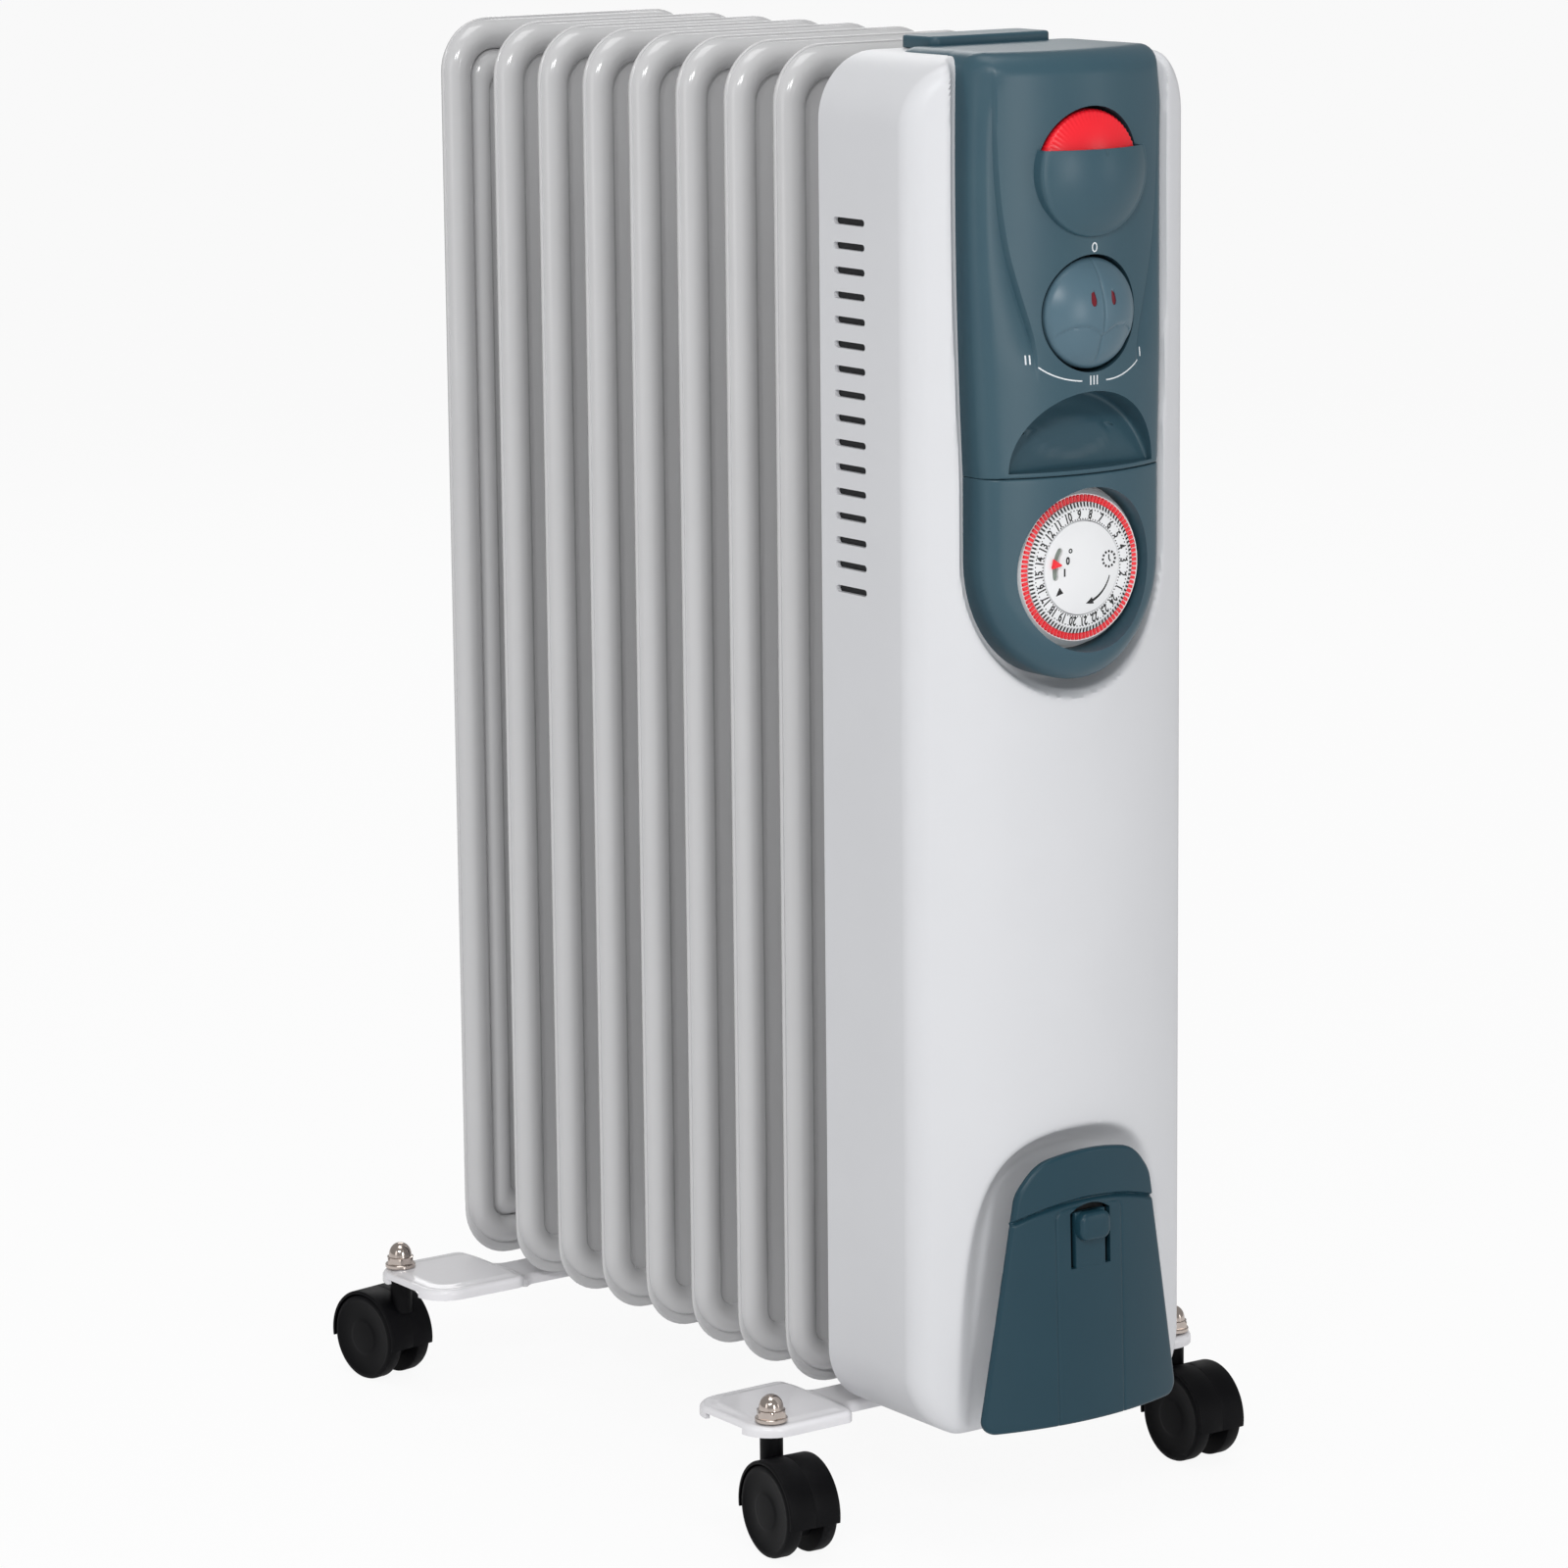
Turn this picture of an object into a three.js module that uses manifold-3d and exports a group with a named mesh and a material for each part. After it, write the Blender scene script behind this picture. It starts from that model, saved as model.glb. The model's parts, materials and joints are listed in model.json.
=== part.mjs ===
// An oil filled radiator heater: nine steel fins on two oil hubs, a plastic control housing at the
// front, two pressed steel feet and four twin wheel casters.
// Millimetres. +X is the heater's right hand side, -Y is its front, +Z is up. The floor is z = 0.
import * as THREE from 'three';
import { mergeVertices } from 'three/addons/utils/BufferGeometryUtils.js';
import Module from 'manifold-3d';

const wasm = await Module();
wasm.setup();

// ---------------------------------------------------------------- driving dimensions

const gap = 0.3;                    // between two fixed pieces that meet
const runGap = 0.5;                 // around a piece that turns
const hidden = 5;                   // how far a cutter runs past the face that it cuts

// fins
const finCount = 9;
const finHeight = 581;
const finWidth = 140;
const finBottomZ = 50;
const finCornerRadius = 24;
const finPitch = 36;
const footGap = 44;                 // between the first two fins, and the last two
const rearFinY = 181.6;
const rimRadius = 6.75;             // the tube that runs round each fin
const rimSteps = 3;                 // straight runs round each corner of a rim
const webThickness = 3;
const channelWidth = 46;            // the flat oil channel up the middle of each fin
const channelThickness = 8;
const beadWidth = 8;                // the pressed bead inside the rear fin's rim
const beadThickness = 9;
const beadInset = 17.5;             // from the rear fin's edge to the middle of its bead

// oil hubs
const hubRadius = 19;
const hubBore = 13;
const lowHubRise = 47;              // the lower hub above the fins' lower end
const highHubDrop = 46;             // the upper hub below their upper end
const rearHubLength = 9;            // how far the hubs stand out behind the rear fin
const frontHubLength = 12;          // and in front of the front fin
const hubFlangeRadius = 17;         // of what closes each hub
const plugFlange = 4;
const plugDepth = 8;

// heating element
const legRadius = 4;
const legSpread = 5.5;              // from the hub's centre line to each leg
const legShort = 12;                // the element's tip in front of the plug's
const elementFlange = 5;
const elementThread = 10;           // how far its threaded shank reaches into the hub
const pinRadius = 1.6;
const pinLength = 8;
const pinSpread = 6;

// front housing
const housingShort = 1;             // how much lower its top is than the fins'
const housingDepth = 61;            // rear edge to front edge, without the crown
const housingCrown = 20;            // how far the middle of the front stands out
const housingWall = 2.2;
const housingCornerRadius = 28;
const housingEdgeRadius = 6;
const housingLap = 9;               // how far the housing reaches back over the front fin
const housingFit = 0.4;             // between the front fin's rim and the housing
const ventCount = 16;
const ventPitch = 10.2;
const ventLength = 21.5;
const ventHeight = 2.8;
const ventDrop = 68;                // the highest vent below the housing's top
const ventFromRear = 10;
const shieldThickness = 1.2;

// control fascias
const fasciaWidth = 98;
const fasciaWaist = 92;             // width at the seam between the two fascias
const fasciaRise = 2;               // its top above the housing's top
const seamAboveTimer = 40;          // the seam between the two fascias, above the timer's centre
const toeBelowTimer = 47;
const fasciaSideDepth = 14;         // from the bottom of the trough to the edge of the face
const fasciaCrown = 15;
const fasciaWall = 2.6;
const fasciaRoot = 8;               // how far it reaches into the housing
const fasciaCornerRadius = 10;
const fasciaTopRadius = 11;
const fasciaEdgeRadius = 6;
const fasciaBow = 1.5;              // how much the upper fascia's sides bow out
const fasciaToe = 52;               // height of the half ellipse that ends the timer fascia
const fasciaToeRadius = 18;         // how the face turns back at the toe
const sleeveDepth = 16;             // from the fascia's crown to the rear of each opening's sleeve
const troughWidth = 7;              // the sunken margin of the housing round the fascias
const troughDepth = 2;              // its floor in front of the housing's edge
const bandLength = 48;              // the part that wraps back over the top of the housing
const bandSink = 0.8;               // how far the band is let into the housing's top
const slabWidth = 62;
const slabLength = 24;
const slabHeight = 3.3;
const slabCornerRadius = 4;

// controls
const thermostatAboveKnob = 58.5;
const thermostatOpening = 26;
const thermostatRadius = 24.7;
const thermostatDome = 5;
const thermostatSetback = 1.5;      // the dial's rim behind the fascia's crown
const coverRadius = 27.4;
const coverHeight = 9;
const coverWall = 2;
const coverSkirt = 1;               // the dome's rim in front of the fascia's crown
const coverCutHeight = 9;           // the cover's straight edge above the dial's centre
const knobAboveSeam = 66;
const knobRadius = 22.8;
const knobOpening = 24.2;
const knobDome = 7;
const knobRise = 1.5;
const lensWidth = 3;
const lensHeight = 9;
const lensSpacing = 10;
const lensAboveCentre = 7;
const lensDepth = 3;                // behind the knob's rim
const spindleRadius = 3;
const switchSize = 30;
const switchDepth = 16;
const flangeThickness = 2;
const gripFromSeam = 2;
const gripWidth = 75;
const gripHeight = 32;
const gripTopDepth = 22;            // the recess's floor behind the fascia's crown, at its top
const gripBottomDepth = 12;

// timer
const timerDrop = 211;              // its centre below the housing's top
const timerRadius = 33;
const timerOpening = 34.3;
const timerSetback = 10;            // the dial's face behind the fascia's crown
const timerDialThickness = 3;
const timerBodyDepth = 22;
const timerDrumInset = 1;           // the drum behind the dial, inside the dial's rim
const timerWorksInset = 6;
const tabRingInner = 26.5;
const tabRingOuter = 31.5;
const tabRingHeight = 2.5;
const tabRingSink = 1;
const figureRingHeight = 2.6;       // how far the dial's figures stand in front of its rim
const figureRingEdge = 1;           // from the figures' raised ring to the tabs
const centreRadius = 19.5;
const centreStub = 3.5;
const centreHeight = 2.6;
const overrideSize = 5;
const overrideRadius = 14;
const overrideTurn = 11;            // degrees that the lever stands above level
const overrideHeight = 1.5;

// cord winding place
const archWidth = 112;
const archTopZ = 180.5;
const archShoulderZ = 150;
const archTaper = 6;                // how far the shoulder leans in
const archSlope = 11;               // the sloping margin of its floor, and how deep it goes
const archSlopeDepth = 4.5;
const archFloorDepth = 14;          // behind the housing's crown
const neckWidth = 58;
const neckBottomZ = 60;
const neckTopZ = 104;
const neckCornerRadius = 10;
const plateTopWidth = 68;
const plateBottomWidth = 106;
const plateTopZ = 167;
const plateTopRise = 5.5;           // how far the top edge bows up
const plateBottomZ = 54.5;
const plateTopRadius = 14;
const plateBottomRadius = 7;
const plateThickness = 3;
const plateCrownRadius = 150;
const plateProud = 11;              // the plate's face in front of the housing's crown, at its foot
const plateLean = THREE.MathUtils.degToRad(1.7);
const tongueWidth = 16;
const tongueTopZ = 145.8;
const tongueBottomZ = 121.5;
const tongueCornerRadius = 2;
const tongueSlot = 2.6;
const tonguePadHeight = 10;
const tonguePadRise = 4;
const openingRise = 3.5;            // the bowed top of the opening round the tongue
const glandRadius = 7;
const glandHeight = 8;
const glandWall = 3;
const glandBore = 2.6;
const glandDraft = 1;
const glandX = 37;
const glandZ = 74;

const cutOutRadius = 9;
const cutOutHeight = 8;
const cutOutZ = 150;
const cutOutEarSpan = 32;
const cutOutEarWidth = 8;
const cutOutEarThickness = 1.5;

// feet
const stemFromEnd = 11;             // from the foot's end to the caster's stem
const footEndLength = 57;
const footEndWidth = 49;
const footWaist = 26;
const waistInward = 4;              // the waist's middle from the middle of the fins' gap
const footEndTopZ = 54.5;
const footLip = 5;
const footSheet = 2;
const footSetForward = 3;
const footCornerRadius = 15;
const boltRadius = 3;
const boltBendSteps = 8;            // straight runs round the bend of a U bolt
const wingNutRadius = 6.5;
const wingNutHeight = 6;
const wingSpan = 24;
const wingThickness = 2.4;
const wingDrop = 2;
const wingTurn = 60;

// casters
const stemSpread = 220;
const stemFromFoot = 19.6;
const wheelRadius = 20;
const wheelWidth = 7.2;
const wheelRimRound = 1.6;
const casterWidth = 24.6;
const casterTrail = 14;
const hoodRadius = 22;
const hoodWall = 1.5;
const hoodBelowAxle = 8;            // degrees that the hood reaches past level on each side
const webRadius = 13;
const stemRadius = 5;
const studRadius = 3.6;
const axleRadius = 2;
const studReach = 7;                // above the foot
const studRoot = 1;                 // how far the stud starts inside the stem
const axleGrip = 6;                 // how far the axle reaches into each wheel
const nutFlangeRadius = 7;
const nutRadius = 5.8;
const nutFlangeHeight = 1.8;
const nutShoulder = 0.8;
const nutHeight = 11.5;
const casterHeadings = { front_left: -4, front_right: -1, rear_left: 189, rear_right: 171 };

// ---------------------------------------------------------------- places worked out from them

const housingWidth = finWidth + 2 * (housingWall + housingFit);
const housingHeight = finHeight - housingShort;
const housingBottomZ = finBottomZ;
const footSpread = stemSpread + 2 * stemFromEnd;
const finY = [rearFinY];
for (let k = 1; k < finCount; k += 1) {
  const step = k === 1 || k === finCount - 1 ? footGap : finPitch;
  finY.push(finY[k - 1] - step);
}
const frontFinY = finY[finCount - 1];
const housingRearY = frontFinY + housingLap;
const housingEdgeY = housingRearY - housingDepth;
const housingCrownY = housingEdgeY - housingCrown;
const housingTopZ = housingBottomZ + housingHeight;
const housingMiddleZ = housingBottomZ + housingHeight / 2;
const lowHubZ = finBottomZ + lowHubRise;
const highHubZ = finBottomZ + finHeight - highHubDrop;
const ventTopZ = housingTopZ - ventDrop;
const timerZ = housingTopZ - timerDrop;
const fasciaSeamZ = timerZ + seamAboveTimer;
const fasciaBottomZ = timerZ - toeBelowTimer;
const fasciaTopZ = housingTopZ + fasciaRise;
const knobZ = fasciaSeamZ + knobAboveSeam;
const thermostatZ = knobZ + thermostatAboveKnob;
const housingInner = housingWidth / 2 - housingWall;
const fasciaEdgeY = housingEdgeY - fasciaSideDepth;
const fasciaCrownY = fasciaEdgeY - fasciaCrown;
const fasciaRootY = housingEdgeY + fasciaRoot;
const shieldRearY = frontFinY - rimRadius - gap;
const shieldFrontY = shieldRearY - shieldThickness;
const troughY = housingEdgeY - troughDepth;
const sleeveRearY = fasciaCrownY + sleeveDepth;
const archFloorY = housingCrownY + archFloorDepth;
const plateFaceY = housingCrownY - plateProud;
const timerFaceY = fasciaCrownY + timerSetback;
const footWaistTopZ = finBottomZ - gap;
const boltX = hubRadius + boltRadius + gap;
const rearFootY = (finY[0] + finY[1]) / 2 - footSetForward;
const frontFootY = (finY[finCount - 2] + finY[finCount - 1]) / 2 - footSetForward;

// ---------------------------------------------------------------- shape and solid helpers

function toSolid(geometry) {
  const bare = geometry.clone();
  bare.deleteAttribute('normal');
  bare.deleteAttribute('uv');
  const merged = mergeVertices(bare, 1e-4);
  return new wasm.Manifold(new wasm.Mesh({
    numProp: 3,
    vertProperties: new Float32Array(merged.attributes.position.array),
    triVerts: new Uint32Array(merged.index.array),
  }));
}

function toGeometry(solid) {
  const mesh = solid.getMesh();
  const geometry = new THREE.BufferGeometry();
  geometry.setAttribute('position', new THREE.BufferAttribute(new Float32Array(mesh.vertProperties), 3));
  geometry.setIndex(new THREE.BufferAttribute(new Uint32Array(mesh.triVerts), 1));
  geometry.computeVertexNormals();
  return geometry;
}

const join = (...solids) => solids.reduce((a, b) => a.add(b));
const cut = (solid, ...cutters) => cutters.reduce((a, b) => a.subtract(b), solid);

function extrusion(shape, depth, curveSegments) {
  return new THREE.ExtrudeGeometry(shape, { depth, bevelEnabled: false, curveSegments });
}

// A shape drawn in plan, (x, y), standing from z = low to z = high.
function planPrism(shape, low, high, curveSegments = 6) {
  const geometry = extrusion(shape, high - low, curveSegments);
  geometry.translate(0, 0, low);
  return toSolid(geometry);
}

// A shape drawn in the front view, (x, z), running from y = front back to y = rear.
function frontPrism(shape, front, rear, curveSegments = 6) {
  const geometry = extrusion(shape, rear - front, curveSegments);
  geometry.rotateX(Math.PI / 2);
  geometry.translate(0, rear, 0);
  return toSolid(geometry);
}

// A shape drawn in the side view, (y, z), running from x = left to x = right.
function sidePrism(shape, left, right, curveSegments = 6) {
  const geometry = extrusion(shape, right - left, curveSegments);
  const axes = new THREE.Matrix4().makeBasis(
    new THREE.Vector3(0, 1, 0), new THREE.Vector3(0, 0, 1), new THREE.Vector3(1, 0, 0));
  geometry.applyMatrix4(axes);
  geometry.translate(left, 0, 0);
  return toSolid(geometry);
}

function box(x0, x1, y0, y1, z0, z1) {
  const geometry = new THREE.BoxGeometry(x1 - x0, y1 - y0, z1 - z0);
  geometry.translate((x0 + x1) / 2, (y0 + y1) / 2, (z0 + z1) / 2);
  return toSolid(geometry);
}

// A lathe profile of [radius, distance] points, turned about the Y axis with distance towards -Y.
function turnedForward(points, sides = 24) {
  const profile = points.map(([r, d]) => new THREE.Vector2(r, d));
  const geometry = new THREE.LatheGeometry(profile, sides);
  geometry.rotateX(Math.PI);
  return toSolid(geometry);
}

// The same turned about the Z axis, with distance upwards.
function turnedUp(points, sides = 24) {
  const profile = points.map(([r, d]) => new THREE.Vector2(r, d));
  const geometry = new THREE.LatheGeometry(profile, sides);
  geometry.rotateX(Math.PI / 2);
  return toSolid(geometry);
}

// A solid cylinder about the Y axis from y = front to y = rear.
function discY(radius, front, rear, x, z, sides = 24) {
  return turnedForward([[0, -rear], [radius, -rear], [radius, -front], [0, -front]], sides)
    .translate([x, 0, z]);
}

// The points of a domed face: from the rim at distance d0 to the axis at d0 + rise.
function domePoints(radius, d0, rise, steps = 5) {
  const ball = (radius * radius + rise * rise) / (2 * rise);
  const half = Math.asin(radius / ball);
  const points = [];
  for (let k = 0; k <= steps; k += 1) {
    const a = half * (1 - k / steps);
    points.push([k === steps ? 0 : ball * Math.sin(a), d0 + rise - ball * (1 - Math.cos(a))]);
  }
  return points;
}

function roundedRect(x0, x1, y0, y1, radius) {
  const r = Math.min(radius, (x1 - x0) / 2, (y1 - y0) / 2);
  const shape = new THREE.Shape();
  shape.moveTo(x0 + r, y0);
  shape.lineTo(x1 - r, y0);
  shape.absarc(x1 - r, y0 + r, r, -Math.PI / 2, 0, false);
  shape.lineTo(x1, y1 - r);
  shape.absarc(x1 - r, y1 - r, r, 0, Math.PI / 2, false);
  shape.lineTo(x0 + r, y1);
  shape.absarc(x0 + r, y1 - r, r, Math.PI / 2, Math.PI, false);
  shape.lineTo(x0, y0 + r);
  shape.absarc(x0 + r, y0 + r, r, Math.PI, Math.PI * 1.5, false);
  return shape;
}

// A plan outline with a crowned front: straight back, straight sides and an arc from edge to edge.
function crownedPlan(half, rearY, edgeY, crown, edgeRadius) {
  const radius = (half * half + crown * crown) / (2 * crown);
  const centreY = edgeY - crown + radius;
  const sweep = Math.asin((half - edgeRadius) / radius);
  const shape = new THREE.Shape();
  shape.moveTo(-half, rearY);
  shape.lineTo(-half, edgeY + edgeRadius);
  shape.quadraticCurveTo(-half, edgeY, -radius * Math.sin(sweep), centreY - radius * Math.cos(sweep));
  shape.absarc(0, centreY, radius, -Math.PI / 2 - sweep, -Math.PI / 2 + sweep, false);
  shape.quadraticCurveTo(half, edgeY, half, edgeY + edgeRadius);
  shape.lineTo(half, rearY);
  return shape;
}

const group = new THREE.Group();
group.name = 'oil_filled_radiator';

function addMesh(name, solid, look, place = [0, 0, 0], turnZ = 0) {
  const material = new THREE.MeshStandardMaterial(look);
  const mesh = new THREE.Mesh(toGeometry(solid), material);
  mesh.name = name;
  mesh.position.set(...place);
  mesh.rotation.z = turnZ;
  group.add(mesh);
}

const looks = {
  enamel: { color: '#cfd0d4', roughness: 0.3, metalness: 0.1 },
  whiteEnamel: { color: '#e9e8ec', roughness: 0.25, metalness: 0.05 },
  housing: { color: '#dcdde1', roughness: 0.4, metalness: 0 },
  fascia: { color: '#435866', roughness: 0.55, metalness: 0 },
  red: { color: '#ee2233', roughness: 0.3, metalness: 0 },
  white: { color: '#f2f2f2', roughness: 0.4, metalness: 0 },
  black: { color: '#17171a', roughness: 0.5, metalness: 0 },
  steel: { color: '#a9abad', roughness: 0.35, metalness: 1 },
  nickel: { color: '#c9bdb6', roughness: 0.15, metalness: 1 },
  lens: { color: '#7a1428', roughness: 0.2, metalness: 0 },
};

// ---------------------------------------------------------------- fins

// The rim: a tube swept round half of a rounded rectangle, made twice so that each half is simple.
function rimTube(width, height, cornerRadius) {
  const w = width / 2 - rimRadius;
  const h = height / 2 - rimRadius;
  const r = cornerRadius - rimRadius;
  const section = new THREE.Shape();
  section.absarc(0, 0, rimRadius, 0, Math.PI * 2, false);
  const halves = [1, -1].map((side) => {
    const corner = (cx, cz, from) => {
      const arc = [];
      for (let k = 0; k <= rimSteps; k += 1) {
        const a = from - (Math.PI / 2) * (k / rimSteps);
        arc.push(new THREE.Vector3(side * (cx + r * Math.cos(a)), 0, cz + r * Math.sin(a)));
      }
      return arc;
    };
    const points = [
      new THREE.Vector3(0, 0, h),
      ...corner(w - r, h - r, Math.PI / 2),
      ...corner(w - r, -h + r, 0),
      new THREE.Vector3(0, 0, -h),
    ];
    return sweep(section, points);
  });
  return join(...halves);
}

// A section swept along straight runs between points, with one ring of the section at each point.
function sweep(section, points) {
  class Route extends THREE.Curve {
    getPoint(t, target = new THREE.Vector3()) {
      const s = t * (points.length - 1);
      const k = Math.min(Math.floor(s), points.length - 2);
      return target.lerpVectors(points[k], points[k + 1], s - k);
    }

    getPointAt(t, target) {
      return this.getPoint(t, target);
    }

    getTangentAt(t, target = new THREE.Vector3()) {
      const step = 1e-3;
      const a = this.getPoint(Math.max(t - step, 0));
      const b = this.getPoint(Math.min(t + step, 1));
      return target.subVectors(b, a).normalize();
    }

    getTangent(t, target) {
      return this.getTangentAt(t, target);
    }
  }
  const geometry = new THREE.ExtrudeGeometry(section, {
    steps: points.length - 1, bevelEnabled: false, curveSegments: 4, extrudePath: new Route(),
  });
  return toSolid(geometry);
}

function finSolid({ width, height, cornerRadius, middleZ, rearReach, frontReach, blindTop, beaded }) {
  const half = width / 2;
  const low = middleZ - height / 2;
  const high = middleZ + height / 2;
  const inset = rimRadius;
  const rim = rimTube(width, height, cornerRadius).translate([0, 0, middleZ]);
  const web = frontPrism(
    roundedRect(-half + inset, half - inset, low + inset, high - inset, cornerRadius - inset),
    -webThickness / 2, webThickness / 2, 1);
  const channel = frontPrism(
    roundedRect(-channelWidth / 2, channelWidth / 2, lowHubZ, highHubZ, channelWidth / 2),
    -channelThickness / 2, channelThickness / 2, 2);
  const loop = (inset) => {
    const radius = Math.max(cornerRadius - inset, beadWidth / 2);
    return roundedRect(-half + inset, half - inset, low + inset, high - inset, radius);
  };
  const bead = loop(beadInset - beadWidth / 2);
  bead.holes.push(loop(beadInset + beadWidth / 2));
  const beads = beaded ? [frontPrism(bead, -beadThickness / 2, beadThickness / 2, 2)] : [];
  const hubs = [lowHubZ, highHubZ].map((z) => discY(hubRadius, -frontReach, rearReach, 0, z, 16));
  const lowBore = discY(hubBore, -frontReach - hidden, rearReach + hidden, 0, lowHubZ, 12);
  const highBoreFront = blindTop ? 0 : -frontReach - hidden;
  const highBore = discY(hubBore, highBoreFront, rearReach + hidden, 0, highHubZ, 12);
  return cut(join(rim, web, channel, ...beads, ...hubs), lowBore, highBore);
}

function buildFins() {
  for (let k = 0; k < finCount; k += 1) {
    const front = k === finCount - 1;
    const rearReach = k === 0 ? rearHubLength : (finY[k - 1] - finY[k]) / 2 - gap / 2;
    const frontReach = front ? frontHubLength : (finY[k] - finY[k + 1]) / 2 - gap / 2;
    const inside = housingWall + housingFit;
    const solid = finSolid({
      width: front ? housingWidth - 2 * inside : finWidth,
      height: front ? housingHeight - 2 * inside : finHeight,
      cornerRadius: front ? housingCornerRadius - inside : finCornerRadius,
      middleZ: front ? housingMiddleZ : finBottomZ + finHeight / 2,
      rearReach,
      frontReach,
      blindTop: front,
      beaded: k === 0,
    });
    addMesh(`fin_${k + 1}`, solid, looks.enamel, [0, finY[k], 0]);
  }
}

function buildHubPlugs() {
  const bore = hubBore - gap;
  const seatY = rearFinY + rearHubLength + gap;
  for (const [name, z] of [['upper_oil_plug', highHubZ], ['lower_oil_plug', lowHubZ]]) {
    const flange = discY(hubFlangeRadius, seatY, seatY + plugFlange, 0, z, 12);
    const shank = discY(bore, seatY - plugDepth, seatY + plugFlange / 2, 0, z, 12);
    addMesh(name, join(flange, shank), looks.steel);
  }
}

function buildHeatingElement() {
  const flangeY = frontFinY - frontHubLength - gap;
  const tipY = rearFinY + rearHubLength - plugDepth - legShort;
  const flange = discY(hubFlangeRadius, flangeY - elementFlange, flangeY, 0, lowHubZ, 6);
  const shank = discY(hubBore - gap, flangeY - elementFlange / 2, flangeY + elementThread, 0, lowHubZ, 12);
  const legs = [-1, 1].map((side) => discY(legRadius, flangeY, tipY, 0, lowHubZ + side * legSpread, 10));
  const w = legRadius * Math.SQRT1_2;
  const turn = box(-w, w, tipY - 2 * legRadius, tipY - gap, lowHubZ - legSpread, lowHubZ + legSpread);
  const pinY = flangeY - elementFlange;
  const pins = [-1, 1].map(
    (side) => discY(pinRadius, pinY - pinLength, pinY + gap, side * pinSpread, lowHubZ, 8));
  addMesh('heating_element', join(flange, shank, ...legs, turn, ...pins), looks.steel);
}

// ---------------------------------------------------------------- front housing

function housingBlock(inset) {
  const half = housingWidth / 2 - inset;
  const plan = crownedPlan(half, housingRearY + (inset > 0 ? hidden : 0), housingEdgeY + inset, housingCrown,
    housingEdgeRadius - inset / 2);
  const face = roundedRect(-half, half, housingBottomZ + inset, housingTopZ - inset,
    housingCornerRadius - inset);
  const low = housingBottomZ - hidden;
  const high = housingTopZ + hidden;
  return planPrism(plan, low, high, 5).intersect(
    frontPrism(face, housingCrownY - hidden, housingRearY + 2 * hidden, 3));
}

// The upper fascia's front outline, grown by some clearance: bowed sides and a rounded top.
function upperOutline(grow, lowZ) {
  const waist = fasciaWaist / 2 + grow;
  const top = fasciaWidth / 2 + grow;
  const bulge = top + fasciaBow;
  const highZ = fasciaTopZ + grow;
  const r = fasciaCornerRadius + grow;
  const middle = (lowZ + highZ) / 2;
  const shape = new THREE.Shape();
  shape.moveTo(waist, lowZ);
  shape.quadraticCurveTo(bulge, middle, top, highZ - r);
  shape.quadraticCurveTo(top, highZ, top - r, highZ);
  shape.lineTo(-top + r, highZ);
  shape.quadraticCurveTo(-top, highZ, -top, highZ - r);
  shape.quadraticCurveTo(-bulge, middle, -waist, lowZ);
  return shape;
}

// The timer fascia's front outline: straight sides that end in half an ellipse.
function lowerOutline(grow, highZ) {
  const waist = fasciaWaist / 2 + grow;
  const toeZ = fasciaBottomZ + fasciaToe;
  const shape = new THREE.Shape();
  shape.moveTo(waist, highZ);
  shape.lineTo(-waist, highZ);
  shape.lineTo(-waist, toeZ);
  shape.absellipse(0, toeZ, waist, fasciaToe + grow, Math.PI, Math.PI * 2, false, 0);
  return shape;
}

// Both outlines together, standing from y = front to y = rear.
function fasciaPrism(grow, front, rear) {
  return join(
    frontPrism(upperOutline(grow, fasciaSeamZ), front, rear, 4),
    frontPrism(lowerOutline(grow, fasciaSeamZ + hidden), front, rear, 5));
}

function archOutline(grow) {
  const half = archWidth / 2 + grow;
  const top = archTopZ + grow;
  const foot = housingBottomZ - archSlope - hidden;
  const shape = new THREE.Shape();
  shape.moveTo(half, foot);
  shape.bezierCurveTo(half, archShoulderZ + grow, half - archTaper, top, 0, top);
  shape.bezierCurveTo(-half + archTaper, top, -half, archShoulderZ + grow, -half, foot);
  return shape;
}

// The recess that the cord winds in, with a sloping margin round its floor.
function archRecess() {
  const depth = archFloorDepth + hidden;
  const geometry = new THREE.ExtrudeGeometry(archOutline(0), {
    depth: depth - archSlopeDepth, curveSegments: 5, bevelEnabled: true, bevelSegments: 1,
    bevelThickness: archSlopeDepth, bevelSize: archSlope, bevelOffset: -archSlope,
  });
  geometry.rotateX(Math.PI / 2);
  geometry.translate(0, archFloorY - archSlopeDepth, 0);
  return toSolid(geometry);
}

function ventSlot(side, z) {
  const rear = housingRearY - ventFromRear;
  const front = rear - ventLength;
  const h = ventHeight / 2;
  const shape = new THREE.Shape();
  shape.moveTo(front + h, z - h);
  shape.lineTo(rear - h, z - h);
  shape.lineTo(rear, z);
  shape.lineTo(rear - h, z + h);
  shape.lineTo(front + h, z + h);
  shape.lineTo(front, z);
  const inner = housingInner - hidden;
  const outer = housingWidth / 2 + hidden;
  return side < 0 ? sidePrism(shape, -outer, -inner) : sidePrism(shape, inner, outer);
}

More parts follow.
